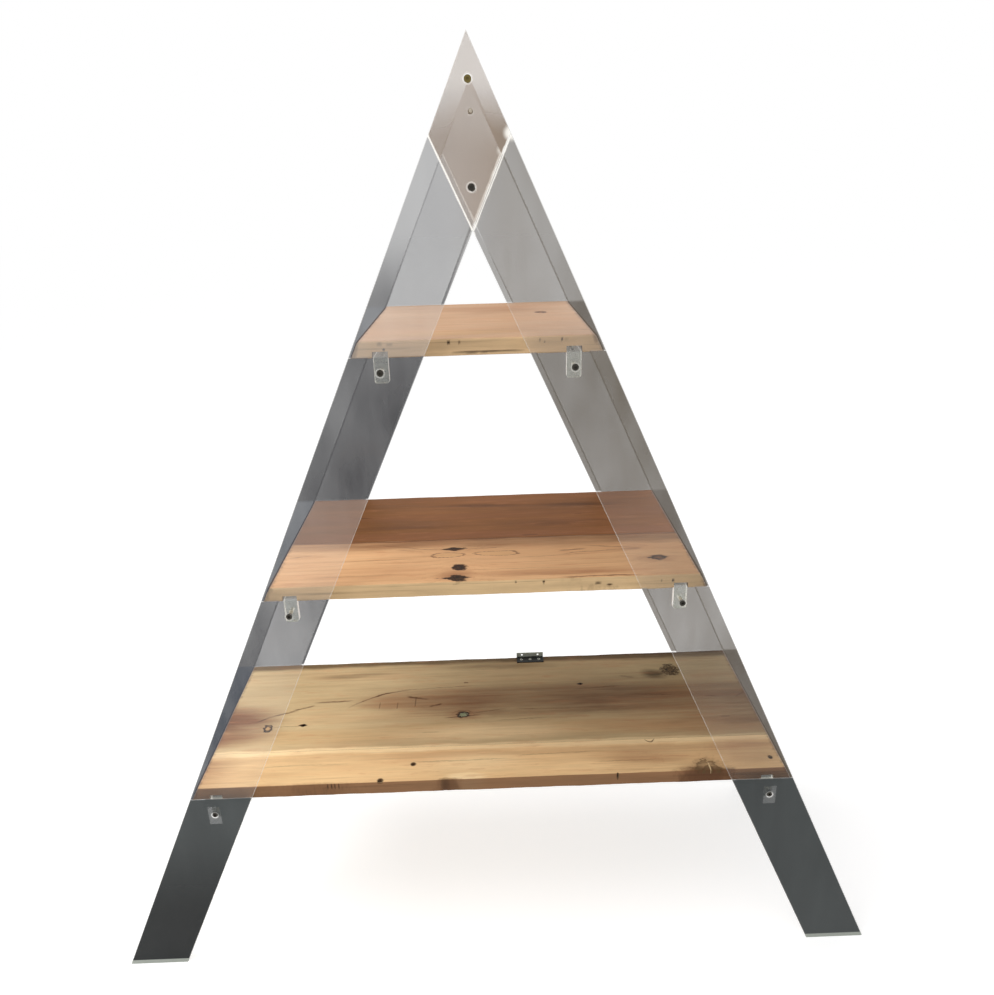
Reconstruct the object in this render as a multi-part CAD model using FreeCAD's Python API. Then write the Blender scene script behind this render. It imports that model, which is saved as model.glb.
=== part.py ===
import FreeCAD, Part
import math
import os

# A triangular etagere: two upright A-frames of clear acrylic strip stand one behind the other,
# and three shelves of reclaimed planks lie between them. Every shelf hangs on four bent acrylic
# angles, whose plates are screwed to the legs and whose flanges are let into the shelf's underside.
# Millimetres. X runs across the front, Y from front to rear, Z up from the floor; the origin is on
# the floor under the middle of the piece.

# Overall form
bay_height = 397.0              # floor to the first shelf top, and from each shelf top to the next
shelf_names = ("bottom", "middle", "top")
foot_spread = 1436.0            # across the outer corners of the feet
shelf_depth = 406.4             # clear distance between the front and the rear frame

# Acrylic legs
leg_width = 101.6
leg_thickness = 19.05
leg_edge_chamfer = 1.0          # polished ease along the edges of the strip
apex_screw_inset = 57.0         # from the upper and lower corners of the lapped kite
contact_gap = 0.2               # air film between faces that are drawn up by screws

# Planks
shelf_thickness = 25.4
front_plank_width = {"bottom": 96.0, "middle": 178.0, "top": 165.0}
plank_edge_radius = 2.0         # worn arris along the front and rear edges of a shelf
shelf_end_setback = 2.0         # shelf end inside the outer edge of the legs

# Bent acrylic shelf brackets
bracket_width = 22.0
bracket_thickness = 9.5
bracket_drop = 38.0             # plate below the underside of the shelf
bracket_flange = 62.0           # from the outside of the bend to the end
bracket_bend_radius = 3.0       # inside the bend
bracket_corner_radius = 4.0
housing_clearance = 0.4         # round the flange in the shelf's underside

# Machine screws with low socket heads, sunk in the legs
screw_diameter = 6.0
screw_head_diameter = 10.0
screw_head_height = 4.0
screw_head_recess = 0.6         # head below the face of the leg
screw_socket_width = 4.0        # across the flats
screw_socket_depth = 2.6
screw_hole_clearance = 0.3
thread_clearance = 0.1
counterbore_clearance = 0.5
counterbore_chamfer = 0.5

# Countersunk wood screws, two up through each bracket flange
wood_screw_diameter = 4.0
wood_screw_head_diameter = 8.0
wood_screw_point = 4.0          # length of the tapered point
wood_screw_cover = 6.0          # wood left above the point
wood_screw_margin = 11.0        # from the flange end, and from the end of the bend
drive_width = 2.4               # square recess in the head
drive_depth = 1.8

# Steel wall anchor on the rear edge of the bottom shelf
anchor_offset = 92.0            # to the right of the middle
anchor_width = 60.0
anchor_foot = 24.0              # depth of the leg that lies on the shelf
anchor_upright = 12.0           # height of the leg that faces the wall
anchor_thickness = 2.0
anchor_bend_radius = 1.0        # inside the bend
anchor_screw_count = 3
anchor_screw_margin = 10.0      # from the ends of the foot
anchor_screw_length = 14.0
anchor_screw_diameter = 3.5
anchor_screw_head_diameter = 6.5
anchor_wall_hole_diameter = 4.5
anchor_wall_hole_margin = 12.0  # from the ends of the upright

# Worked out from the sizes above
overall_height = bay_height * (len(shelf_names) + 1)
half_spread = foot_spread / 2
splay = math.atan2(half_spread, overall_height)
leg_run = leg_width / math.cos(splay)
kite_height = leg_run * overall_height / half_spread
frame_inner = shelf_depth / 2
frame_outer = frame_inner + leg_thickness
lap_plane = -frame_outer + leg_thickness / 2
screw_seat = -frame_outer + screw_head_recess + screw_head_height
thread_radius = screw_diameter / 2 + thread_clearance
cut_margin = 1.0

along_x = FreeCAD.Vector(1, 0, 0)
along_y = FreeCAD.Vector(0, 1, 0)
along_z = FreeCAD.Vector(0, 0, 1)


def outer_edge(z):
    """Half the width of the A over its outer edges at height z."""
    return half_spread * (1 - z / overall_height)


def shelf_top(level):
    """Height of a shelf's upper face, counting shelves from the floor."""
    return bay_height * (level + 1)


def shelf_underside(level):
    """Height of a shelf's lower face."""
    return shelf_top(level) - shelf_thickness


def bracket_screw_place(level, side):
    """X and Z where a bracket's screw crosses the middle of its leg."""
    z = shelf_underside(level) - bracket_drop / 2
    return side * (outer_edge(z) - leg_run / 2), z


def apex_screw_heights():
    """Heights of the two screws that hold the lapped kite together."""
    upper = overall_height - apex_screw_inset
    lower = overall_height - kite_height + apex_screw_inset
    return [lower, upper]


def prism(points, y_from, y_to):
    """A solid whose outline in X and Z is a polygon, from one depth to another."""
    corners = [FreeCAD.Vector(x, y_from, z) for x, z in points]
    face = Part.Face(Part.makePolygon(corners + corners[:1]))
    return face.extrude(along_y * (y_to - y_from))


def cylinder(radius, start, end):
    """A round bar between two points."""
    axis = end - start
    return Part.makeCylinder(radius, axis.Length, start, axis)


def cone(start_radius, end_radius, start, end):
    """A tapered round bar between two points."""
    axis = end - start
    return Part.makeCone(start_radius, end_radius, axis.Length, start, axis)


def is_along(edge, direction):
    """True where a straight edge runs in the given direction, either way round."""
    if not isinstance(edge.Curve, Part.Line):
        return False
    return edge.Curve.Direction.cross(direction).Length < 1e-6


def turned(shape):
    """A copy carried half a turn round the vertical axis, from the front frame to the rear."""
    copy = shape.copy()
    copy.rotate(FreeCAD.Vector(0, 0, 0), along_z, 180)
    return copy


def bent_angle(width, flange, drop, thickness, inside_radius):
    """A strip bent to a right angle: outer corner at the origin, flange along +Y, plate along -Z."""
    bend = inside_radius + thickness
    outer_middle = bend * (1 - math.sqrt(0.5))
    inner_middle = bend - inside_radius * math.sqrt(0.5)

    def point(y, z):
        return FreeCAD.Vector(-width / 2, y, z)

    def line(start, end):
        return Part.LineSegment(start, end).toShape()

    outline = Part.Wire([
        line(point(0, -drop), point(0, -bend)),
        Part.Arc(point(0, -bend), point(outer_middle, -outer_middle), point(bend, 0)).toShape(),
        line(point(bend, 0), point(flange, 0)),
        line(point(flange, 0), point(flange, -thickness)),
        line(point(flange, -thickness), point(bend, -thickness)),
        Part.Arc(
            point(bend, -thickness),
            point(inner_middle, -inner_middle),
            point(thickness, -bend),
        ).toShape(),
        line(point(thickness, -bend), point(thickness, -drop)),
        line(point(thickness, -drop), point(0, -drop)),
    ])
    return Part.Face(outline).extrude(along_x * width)


def sunk_screw_hole(x, z, clear_to):
    """Tool for a counterbored clearance hole from the front face back to a given depth."""
    bore = screw_head_diameter / 2 + counterbore_clearance
    shank = screw_diameter / 2 + screw_hole_clearance
    face = FreeCAD.Vector(x, -frame_outer, z)
    seat = FreeCAD.Vector(x, screw_seat, z)
    tool = cylinder(bore, face - along_y * cut_margin, seat)
    tool = tool.fuse(cone(bore + counterbore_chamfer, bore, face, face + along_y * counterbore_chamfer))
    return tool.fuse(cylinder(shank, seat, FreeCAD.Vector(x, clear_to, z)))


def threaded_hole(x, z, y_from, y_to):
    """Tool for a tapped hole that a machine screw holds in."""
    return cylinder(thread_radius, FreeCAD.Vector(x, y_from, z), FreeCAD.Vector(x, y_to, z))


def socket_screw(x, z, y_tip):
    """A low-headed machine screw with a hexagon socket, its head to the front."""
    seat = FreeCAD.Vector(x, screw_seat, z)
    top = seat - along_y * screw_head_height
    screw = cylinder(screw_head_diameter / 2, top, seat)
    screw = screw.fuse(cylinder(screw_diameter / 2, seat, FreeCAD.Vector(x, y_tip, z)))
    corner = screw_socket_width / math.sqrt(3)
    turns = [math.radians(60 * step) for step in range(6)]
    hexagon = [(x + corner * math.cos(turn), z + corner * math.sin(turn)) for turn in turns]
    return screw.cut(prism(hexagon, top.y - cut_margin, top.y + screw_socket_depth))


def wood_screw(head, direction, length, diameter, head_diameter):
    """A countersunk wood screw, its head flush at a point, driven up or down."""
    neck = head + direction * ((head_diameter - diameter) / 2)
    shoulder = head + direction * (length - wood_screw_point)
    screw = cone(head_diameter / 2, diameter / 2, head, neck)
    screw = screw.fuse(cylinder(diameter / 2, neck, shoulder))
    screw = screw.fuse(cone(diameter / 2, 0, shoulder, head + direction * length))
    recess = Part.makeBox(drive_width, drive_width, 2 * drive_depth)
    recess.translate(head - FreeCAD.Vector(drive_width / 2, drive_width / 2, drive_depth))
    return screw.cut(recess)


def pilot_hole(head, direction, length, diameter):
    """Tool for the straight part of a wood screw's hole."""
    depth = length + thread_clearance
    return cylinder(diameter / 2 + thread_clearance, head, head + direction * depth)


def countersunk_hole(head, direction, length, diameter, head_diameter):
    """Tool for a wood screw's hole with the cone that its head seats in."""
    neck = head + direction * ((head_diameter - diameter) / 2)
    sink = cone(head_diameter / 2, diameter / 2, head, neck)
    return sink.fuse(pilot_hole(head, direction, length, diameter))


def strip_outline(side):
    """A whole leg in front view: level at the foot, cut along the other leg's outer edge at the tip."""
    kite_side = overall_height - kite_height / 2
    points = [
        (half_spread, 0),
        (half_spread - leg_run, 0),
        (-outer_edge(kite_side), kite_side),
        (0, overall_height),
    ]
    return [(side * x, z) for x, z in points]


def lap_outline(side):
    """The area past a leg's inner edge, where the other leg gives up half its thickness to it."""
    low = overall_height - kite_height - leg_width
    high = overall_height + leg_width
    inset = leg_run + contact_gap
    points = [
        (outer_edge(low) - inset, low),
        (outer_edge(high) - inset, high),
        (half_spread, high),
        (half_spread, low),
    ]
    return [(side * x, z) for x, z in points]


def front_leg(side):
    """One leg of the front A: the left one laps in front at the apex, the right one behind."""
    leg = prism(strip_outline(side), -frame_outer, -frame_inner)
    edges = []
    for lean in (-1, 1):
        slope = FreeCAD.Vector(lean * half_spread, 0, overall_height).normalize()
        edges += [edge for edge in leg.Edges if is_along(edge, slope)]
    leg = leg.makeChamfer(leg_edge_chamfer, edges)
    behind = -frame_inner + cut_margin
    if side < 0:
        lap = prism(lap_outline(-side), lap_plane - contact_gap / 2, behind)
    else:
        lap = prism(lap_outline(-side), -frame_outer - cut_margin, lap_plane + contact_gap / 2)
    leg = leg.cut(lap)
    for level in range(len(shelf_names)):
        leg = leg.cut(sunk_screw_hole(*bracket_screw_place(level, side), behind))
    for z in apex_screw_heights():
        leg = leg.cut(sunk_screw_hole(0, z, lap_plane))
        leg = leg.cut(threaded_hole(0, z, lap_plane, behind))
    return leg


def flange_screws(level, side):
    """Head, direction and length of the two wood screws up through a front bracket's flange."""
    x = bracket_screw_place(level, side)[0]
    bend_end = -frame_inner + bracket_bend_radius + bracket_thickness
    flange_end = -frame_inner + bracket_flange
    z = shelf_underside(level) - contact_gap
    length = shelf_thickness - wood_screw_cover
    depths = (bend_end + wood_screw_margin, flange_end - wood_screw_margin)
    return [(FreeCAD.Vector(x, y, z), along_z, length) for y in depths]


def front_bracket(level, side):
    """A shelf bracket of the front frame: plate on the leg, bend at the top, flange under the shelf."""
    x, z = bracket_screw_place(level, side)
    near = -frame_inner + contact_gap
    roof = shelf_underside(level) + bracket_thickness - contact_gap
    drop = bracket_drop + bracket_thickness
    angle = bent_angle(bracket_width, bracket_flange, drop, bracket_thickness, bracket_bend_radius)
    corners = []
    for edge in angle.Edges:
        at_foot = is_along(edge, along_y) and edge.CenterOfMass.z < -drop / 2
        at_end = is_along(edge, along_z) and edge.CenterOfMass.y > bracket_flange / 2
        if at_foot or at_end:
            corners.append(edge)
    angle = angle.makeFillet(bracket_corner_radius, corners)
    angle.translate(FreeCAD.Vector(x, near, roof))
    angle = angle.cut(threaded_hole(x, z, near - cut_margin, near + bracket_thickness + cut_margin))
    for screw in flange_screws(level, side):
        angle = angle.cut(countersunk_hole(*screw, wood_screw_diameter, wood_screw_head_diameter))
    return angle


def bracket_housing(level, side):
    """Tool for the slot in a shelf's underside that a front bracket's flange lies in."""
    width = bracket_width + 2 * housing_clearance
    length = bracket_flange + housing_clearance + contact_gap
    corner = FreeCAD.Vector(-width / 2, -frame_inner, shelf_underside(level) - cut_margin)
    slot = Part.makeBox(width, length, bracket_thickness + cut_margin, corner)
    far_edges = []
    for edge in slot.Edges:
        if is_along(edge, along_z) and edge.CenterOfMass.y > corner.y + length / 2:
            far_edges.append(edge)
    slot = slot.makeFillet(bracket_corner_radius + housing_clearance, far_edges)
    slot.translate(along_x * bracket_screw_place(level, side)[0])
    return slot


def shelf_outline(level):
    """A shelf in front view: its ends slope with the outer edges of the legs."""
    upper = shelf_top(level)
    lower = shelf_underside(level)
    upper_half = outer_edge(upper) - shelf_end_setback
    lower_half = outer_edge(lower) - shelf_end_setback
    return [(-upper_half, upper), (upper_half, upper), (lower_half, lower), (-lower_half, lower)]


def plank(level, place):
    """The front or the rear plank of a shelf, cut out for the brackets and their screws."""
    front = -frame_inner + contact_gap
    rear = frame_inner - contact_gap
    joint = front + front_plank_width[shelf_names[level]]
    if place == "front":
        board = prism(shelf_outline(level), front, joint)
        worn = front
    else:
        board = prism(shelf_outline(level), joint, rear)
        worn = rear
    arrises = []
    for edge in board.Edges:
        if is_along(edge, along_x) and math.isclose(edge.CenterOfMass.y, worn):
            arrises.append(edge)
    board = board.makeFillet(plank_edge_radius, arrises)
    for side in (-1, 1):
        tools = [bracket_housing(level, side)]
        tools += [pilot_hole(*screw, wood_screw_diameter) for screw in flange_screws(level, side)]
        for tool in tools:
            board = board.cut(tool).cut(turned(tool))
    if level == 0:
        for screw in anchor_screws():
            board = board.cut(pilot_hole(*screw, anchor_screw_diameter))
    return board


def anchor_screws():
    """Head, direction and length of the screws down through the wall anchor's foot."""
    first = anchor_offset - anchor_width / 2 + anchor_screw_margin
    step = (anchor_width - 2 * anchor_screw_margin) / (anchor_screw_count - 1)
    y = frame_inner - contact_gap - (anchor_foot + anchor_thickness) / 2
    z = shelf_top(0) + anchor_thickness
    heads = [FreeCAD.Vector(first + step * index, y, z) for index in range(anchor_screw_count)]
    return [(head, along_z * -1, anchor_screw_length) for head in heads]


def wall_anchor():
    """A bent steel angle: its foot is screwed to the bottom shelf, its upright takes two wall screws."""
    angle = bent_angle(anchor_width, anchor_foot, anchor_upright, anchor_thickness, anchor_bend_radius)
    angle.rotate(FreeCAD.Vector(0, 0, 0), along_x, 180)
    rear = frame_inner - contact_gap
    angle.translate(FreeCAD.Vector(anchor_offset, rear, shelf_top(0)))
    for screw in anchor_screws():
        angle = angle.cut(countersunk_hole(*screw, anchor_screw_diameter, anchor_screw_head_diameter))
    reach = anchor_width / 2 - anchor_wall_hole_margin
    for x in (anchor_offset - reach, anchor_offset + reach):
        middle = FreeCAD.Vector(x, rear, shelf_top(0) + (anchor_upright + anchor_thickness) / 2)
        start = middle - along_y * (anchor_thickness + cut_margin)
        end = middle + along_y * cut_margin
        angle = angle.cut(cylinder(anchor_wall_hole_diameter / 2, start, end))
    return angle


def both_frames(shapes):
    """Pieces of the front frame in one group with their copies on the rear frame."""
    return Part.makeCompound(shapes + [turned(shape) for shape in shapes])


def main():
    """Build every piece and write it under its own name."""
    nodes = {}
    sides = {-1: "left", 1: "right"}
    bracket_screws = []
    wood_screws = []
    for side, name in sides.items():
        leg = front_leg(side)
        nodes[f"front_{name}_leg"] = leg
        nodes[f"rear_{sides[-side]}_leg"] = turned(leg)
    for level, shelf in enumerate(shelf_names):
        for place in ("front", "rear"):
            nodes[f"{shelf}_shelf_{place}_plank"] = plank(level, place)
        for side, name in sides.items():
            angle = front_bracket(level, side)
            nodes[f"{shelf}_shelf_front_{name}_bracket"] = angle
            nodes[f"{shelf}_shelf_rear_{sides[-side]}_bracket"] = turned(angle)
            tip = -frame_inner + contact_gap + bracket_thickness
            bracket_screws.append(socket_screw(*bracket_screw_place(level, side), tip))
            for screw in flange_screws(level, side):
                wood_screws.append(wood_screw(*screw, wood_screw_diameter, wood_screw_head_diameter))
    apex_screws = [socket_screw(0, z, -frame_inner) for z in apex_screw_heights()]
    anchor_fixings = []
    for screw in anchor_screws():
        anchor_fixings.append(wood_screw(*screw, anchor_screw_diameter, anchor_screw_head_diameter))
    nodes["bracket_screws"] = both_frames(bracket_screws)
    nodes["bracket_wood_screws"] = both_frames(wood_screws)
    nodes["apex_screws"] = both_frames(apex_screws)
    nodes["wall_anchor"] = wall_anchor()
    nodes["wall_anchor_screws"] = Part.makeCompound(anchor_fixings)
    os.makedirs("parts", exist_ok=True)
    for name, shape in nodes.items():
        shape.exportStep(f"parts/{name}.step")
        print(name, len(shape.Solids), shape.isValid(), round(shape.Volume))


main()
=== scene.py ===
import math
from dataclasses import dataclass
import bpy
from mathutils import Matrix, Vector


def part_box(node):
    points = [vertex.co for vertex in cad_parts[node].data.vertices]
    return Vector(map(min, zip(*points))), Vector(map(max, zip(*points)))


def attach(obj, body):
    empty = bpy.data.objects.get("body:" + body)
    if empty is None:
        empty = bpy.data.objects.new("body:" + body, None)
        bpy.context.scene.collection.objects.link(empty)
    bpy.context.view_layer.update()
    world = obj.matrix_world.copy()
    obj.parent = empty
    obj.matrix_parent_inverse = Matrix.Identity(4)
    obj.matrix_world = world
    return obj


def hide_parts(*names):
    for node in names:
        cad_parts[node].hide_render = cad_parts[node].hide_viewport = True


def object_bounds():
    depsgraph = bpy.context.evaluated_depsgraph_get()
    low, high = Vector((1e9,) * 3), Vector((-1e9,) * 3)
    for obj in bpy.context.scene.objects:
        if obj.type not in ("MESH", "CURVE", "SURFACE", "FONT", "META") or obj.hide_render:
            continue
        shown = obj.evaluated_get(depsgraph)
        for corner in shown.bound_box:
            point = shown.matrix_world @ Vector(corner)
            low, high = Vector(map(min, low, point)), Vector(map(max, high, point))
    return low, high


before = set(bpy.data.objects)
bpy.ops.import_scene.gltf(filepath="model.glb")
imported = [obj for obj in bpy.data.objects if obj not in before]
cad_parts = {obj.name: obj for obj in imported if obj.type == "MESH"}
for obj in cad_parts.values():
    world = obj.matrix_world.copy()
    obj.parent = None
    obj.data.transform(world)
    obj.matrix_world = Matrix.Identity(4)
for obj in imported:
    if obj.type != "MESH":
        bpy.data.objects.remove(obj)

from types import SimpleNamespace

import bmesh
import bpy
import numpy as np
from bpy.props import FloatProperty, FloatVectorProperty, PointerProperty
from mathutils import Matrix, Vector

bl_info = {
    "name": "Triangular Shelf",
    "version": (1, 0, 0),
    "blender": (4, 5, 0),
    "location": "3D View > Sidebar > Shelf",
    "description": "Finishes an A-shaped etagere of clear acrylic legs and reclaimed planks",
    "category": "Object",
}

BODY = "root"
MM = 0.001
SHELVES = ("bottom", "middle", "top")
PLACES = ("front", "rear")
SIDES = ("left", "right")

CAD_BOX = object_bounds()
CAD_SIZE = CAD_BOX[1] - CAD_BOX[0]
OVERALL_HEIGHT = CAD_SIZE.z
HALF_SPREAD = CAD_SIZE.x / 2
FRAME_OUTER = CAD_SIZE.y / 2
FRAME_INNER = -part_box("front_left_leg")[1].y
# How far the outer edges lean in for each metre of height, and the same as an angle
LEAN = HALF_SPREAD / OVERALL_HEIGHT
SPLAY = math.atan(LEAN)


def plank_name(shelf, place):
    """Name of a plank's CAD node."""
    return f"{shelf}_shelf_{place}_plank"


def bracket_name(shelf, place, side):
    """Name of a bracket's CAD node."""
    return f"{shelf}_shelf_{place}_{side}_bracket"


def shelf_span(shelf):
    """Heights of a shelf's underside and top."""
    low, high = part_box(plank_name(shelf, "front"))
    return low.z, high.z


def wood_kind(shelf, place):
    """Which wood a plank is cut from: the top shelf's two planks are alike."""
    return "top" if shelf == "top" else f"{shelf}_{place}"


def srgb(red, green, blue):
    """A colour given as 0 to 255 screen values, turned into the linear values that shaders take."""
    def linear(value):
        share = value / 255
        return share / 12.92 if share <= 0.04045 else ((share + 0.055) / 1.055) ** 2.4
    return (linear(red), linear(green), linear(blue))


# Settings that a user would change


def size(name, description, default):
    """A length in metres for the sidebar."""
    return FloatProperty(name=name, description=description, default=default, unit="LENGTH")


def share(name, description, default):
    """A plain number from 0 to 1 for the sidebar."""
    return FloatProperty(name=name, description=description, default=default, min=0, max=1,
                         subtype="FACTOR")


def tone(name, description, default):
    """A linear colour for the sidebar."""
    return FloatVectorProperty(name=name, description=description, default=default, subtype="COLOR",
                               size=3, min=0, max=1)


def angle(name, description, degrees):
    """An angle for the sidebar."""
    return FloatProperty(name=name, description=description, default=math.radians(degrees),
                         subtype="ANGLE")


def spot(name, description, default):
    """A place in metres for the sidebar."""
    return FloatVectorProperty(name=name, description=description, default=default,
                               subtype="TRANSLATION", unit="LENGTH")


class ShelfAcrylicSettings(bpy.types.PropertyGroup):
    """Tint, painted shade, painted glow and edges of the acrylic; a density, veil or wedge is the share of
    light that is stopped.
    """
    # Haze and veil of the legs: partly a grey tint of the sheet, partly painted shade and painted
    # reflection of the room seen in and through the clear legs; the veil over the shelves is a painted
    # reflection
    left_tint: tone("Left tint", "Colour of the haze in the left legs", srgb(86, 86, 88))
    right_tint: tone("Right tint", "Colour of the haze in the right legs", srgb(106, 98, 87))
    tip_tint: tone("Tip tint", "Colour of the haze at the apex", srgb(172, 154, 138))
    veil_tint: tone("Veil tint", "Colour of the thin veil over the shelves", srgb(218, 211, 206))
    # The smoke at the feet is painted shade: the dark floor seen through the legs
    foot_shade_tint: tone("Foot tint", "Colour of the smoke at the feet", srgb(73, 77, 77))
    # The dark outer strips beside the shelves and their wedges are painted shade
    left_strip_shade: tone("Left strip", "Colour of a left outer strip beside a shelf", srgb(62, 68, 78))
    right_strip_shade: tone("Right strip", "Colour of a right outer strip beside a shelf", srgb(84, 73, 60))
    left_veil: share("Left veil", "Veil of a left leg beside the top shelf", 0.32)
    low_veil: share("Low veil", "Veil of a left leg beside the bottom shelf", 0.09)
    right_veil: share("Right veil", "Share of the left legs' veil that the right legs have", 0.36)
    lower_density: share("Lower density", "Haze of a rear leg in the lower bay", 0.82)
    middle_density: share("Middle density", "Haze of a rear leg in the middle bay", 0.87)
    upper_density: share("Upper density", "Haze of a rear leg above the top shelf", 0.52)
    tip_density: share("Tip density", "Haze of a leg at the apex", 0.50)
    # Strength of the painted shade at the feet
    foot_shade_density: share("Foot density", "Smoke of a leg at the feet", 0.992)
    # Wedges: painted shade of the outer strips beside the shelves
    left_wedge: share("Left wedge", "Haze of a left outer strip beside a shelf", 0.88)
    right_wedge: share("Right wedge", "Haze of a right outer strip beside a shelf", 0.95)
    top_wedge: share("Top wedge", "Haze of the outer strips beside the top shelf", 0.83)
    # Widths of the dark strips of painted shade
    left_outer: size("Left outer strip", "Width of a left leg's dark outer strip", 26.6 * MM)
    right_outer: size("Right outer strip", "Width of a right leg's dark outer strip", 22.4 * MM)
    left_inner: size("Left inner strip", "Width of a left leg's dark inner strip", 4.2 * MM)
    right_inner: size("Right inner strip", "Width of a right leg's dark inner strip", 9.0 * MM)
    # The bright lines along sawn edges and seams are painted highlights
    edge_line: size("Edge line", "Half width of the bright line along sawn edges", 1.3 * MM)
    seam_line: size("Seam line", "Half width of the bright lines of the lapped joint", 2.4 * MM)
    foot_line: size("Foot line", "Height of the frosted strip at the foot", 9 * MM)
    foot_strip: tone("Foot strip", "Colour of the frosted strip at the foot", srgb(182, 187, 178))
    edge_tone: tone("Edge tone", "Colour of sawn and frosted edges", srgb(246, 243, 236))
    # Painted glow: edges, bright lines, rings, sides and most of the haze shine as emission, though no
    # lamp
    painted_glow: share("Edge glow", "Light that sawn edges pipe out of the sheet", 0.35)
    # The haze's own glow is painted emission, not scattered light
    haze_glow: share("Haze scatter", "Share of the haze's colour that is scattered light", 0.75)
    bracket_tint: tone("Bracket tint", "Colour of the bracket haze", srgb(200, 206, 199))
    bracket_density: share("Bracket density", "Haze of one bracket face", 0.36)


WOOD_PARTS = {
    "spring": "Pale part of the rings",
    "summer": "Dark part of the rings",
    "edge": "Colour of the front or rear edge",
}
WOOD_TONES = {
    "top": ((208, 171, 138), (178, 134, 100), (224, 190, 146)),
    "middle_front": ((234, 188, 140), (192, 140, 96), (224, 192, 146)),
    "middle_rear": ((150, 100, 58), (114, 72, 38), (130, 92, 62)),
    "bottom_front": ((250, 214, 160), (214, 168, 118), (138, 98, 68)),
    "bottom_rear": ((214, 189, 144), (172, 142, 102), (112, 88, 60)),
}


def wood_tones():
    """A colour setting for each part of each kind of wood."""
    tones = {}
    for kind, colours in WOOD_TONES.items():
        for part, colour in zip(WOOD_PARTS, colours):
            label = f"{kind} {part}".replace("_", " ").capitalize()
            tones[f"{kind}_{part}"] = tone(label, WOOD_PARTS[part], srgb(*colour))
    return tones


class ShelfWoodSettings(bpy.types.PropertyGroup):
    """Colours of the planks: spring wood, summer wood and edge of each kind, and a blush in all."""
    __annotations__ = wood_tones()
    blush: tone("Blush", "Colour of the redder patches in all planks", srgb(176, 118, 80))


class ShelfMetalSettings(bpy.types.PropertyGroup):
    """Colours of the screws and the wall anchor."""
    black: tone("Blackened steel", "Colour of the machine screws' heads", srgb(34, 35, 36))
    rubbed: tone("Rubbed steel", "Colour of the heads where they are rubbed", srgb(120, 112, 96))
    # The top pair's warm colour is a painted reflection: they are blackened like the others
    warm_reflection: tone("Brass", "Colour of the top screws of the lapped joint", srgb(122, 108, 62))
    # Pale shanks and ends are a painted highlight of the screws seen through the clear legs
    pale_sheen: tone("Bare steel", "Colour of the machine screws' bare shanks and ends", srgb(226, 222, 204))
    zinc: tone("Zinc", "Colour of the wood screws", srgb(188, 190, 186))
    bloom: tone("Bloom", "Colour of the cloudy bloom on the zinc", srgb(214, 206, 176))
    # The anchor is one steel angle: its dark foot is painted shade, its pale upright a painted sky
    # reflection
    anchor_foot_shade: tone("Anchor foot", "Colour of the anchor's blackened foot", srgb(30, 30, 30))
    anchor_upright_sheen: tone("Anchor upright", "Colour of the anchor's bare upright", srgb(182, 190, 178))


class ShelfStageSettings(bpy.types.PropertyGroup):
    """Camera, floor and light."""
    lens: FloatProperty(name="Lens", description="Focal length", default=29.382, unit="CAMERA")
    camera_place: spot("Camera place", "Where the camera stands", (0.0085, -1.4055, 1.3872))
    camera_yaw: angle("Yaw", "Camera turned to the right", 0.689)
    camera_pitch: angle("Pitch", "Camera tipped down", 20.428)
    camera_roll: angle("Roll", "Camera leant to one side", -1.659)
    floor_tone: tone("Floor", "Colour of the floor", srgb(232, 232, 232))
    floor_reach: size("Floor reach", "Half width of the floor", 30.0)
    floor_glow: share("Floor glow", "White added to the floor that the camera sees", 0.5)
    sky_strength: share("Sky", "Strength of the even light from all round", 0.62)
    key_power: FloatProperty(name="Key power", description="Power of the large lamp", default=58.0,
                             unit="POWER")
    key_place: spot("Key place", "Where the large lamp hangs", (-1.7, -0.5, 2.9))
    key_width: size("Key width", "Width of the large lamp", 2.6)
    key_height: size("Key height", "Height of the large lamp", 2.0)


# Shader expressions


def between(factor, first, second):
    """The number that lies a factor of the way from first to second."""
    return first + factor * (second - first)


class Value:
    """A number that varies over a surface: wraps an output socket, and operators add Math nodes."""

    def __init__(self, graph, socket):
        self.graph = graph
        self.socket = socket

    def __add__(self, other):
        return self.graph.maths("ADD", self, other)

    __radd__ = __add__

    def __sub__(self, other):
        return self.graph.maths("SUBTRACT", self, other)

    def __rsub__(self, other):
        return self.graph.maths("SUBTRACT", other, self)

    def __mul__(self, other):
        return self.graph.maths("MULTIPLY", self, other)

    __rmul__ = __mul__

    def __truediv__(self, other):
        return self.graph.maths("DIVIDE", self, other)

    def __pow__(self, other):
        return self.graph.maths("POWER", self, other)

    def __rpow__(self, other):
        return self.graph.maths("POWER", other, self)

    def __abs__(self):
        return self.graph.maths("ABSOLUTE", self)


class Graph:
    """A node tree under construction, empty at first."""

    def __init__(self, tree):
        self.tree = tree
        self.tree.nodes.clear()

    def feed(self, socket, value):
        """Links a value or an output to an input, or sets the input to a plain number or colour."""
        if isinstance(value, Value):
            self.tree.links.new(value.socket, socket)
        elif isinstance(value, bpy.types.NodeSocket):
            self.tree.links.new(value, socket)
        elif socket.type == "RGBA":
            socket.default_value = (*value, 1.0)
        else:
            socket.default_value = value

    def node(self, kind, settings=None, **inputs):
        """Adds a node: its settings first, then its sockets by name, or by number as i0, i1 and so on."""
        made = self.tree.nodes.new(kind)
        for key, value in (settings or {}).items():
            setattr(made, key, value)
        for key, value in inputs.items():
            numbered = key[0] == "i" and key[1:].isdigit()
            self.feed(made.inputs[int(key[1:]) if numbered else key], value)
        return made

    def maths(self, operation, *values):
        """One Math node on one or two values."""
        inputs = {f"i{index}": value for index, value in enumerate(values)}
        made = self.node("ShaderNodeMath", {"operation": operation}, **inputs)
        return Value(self, made.outputs[0])

    def larger(self, first, second):
        """The larger of two values."""
        return self.maths("MAXIMUM", first, second)

    def smaller(self, first, second):
        """The smaller of two values."""
        return self.maths("MINIMUM", first, second)


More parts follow.
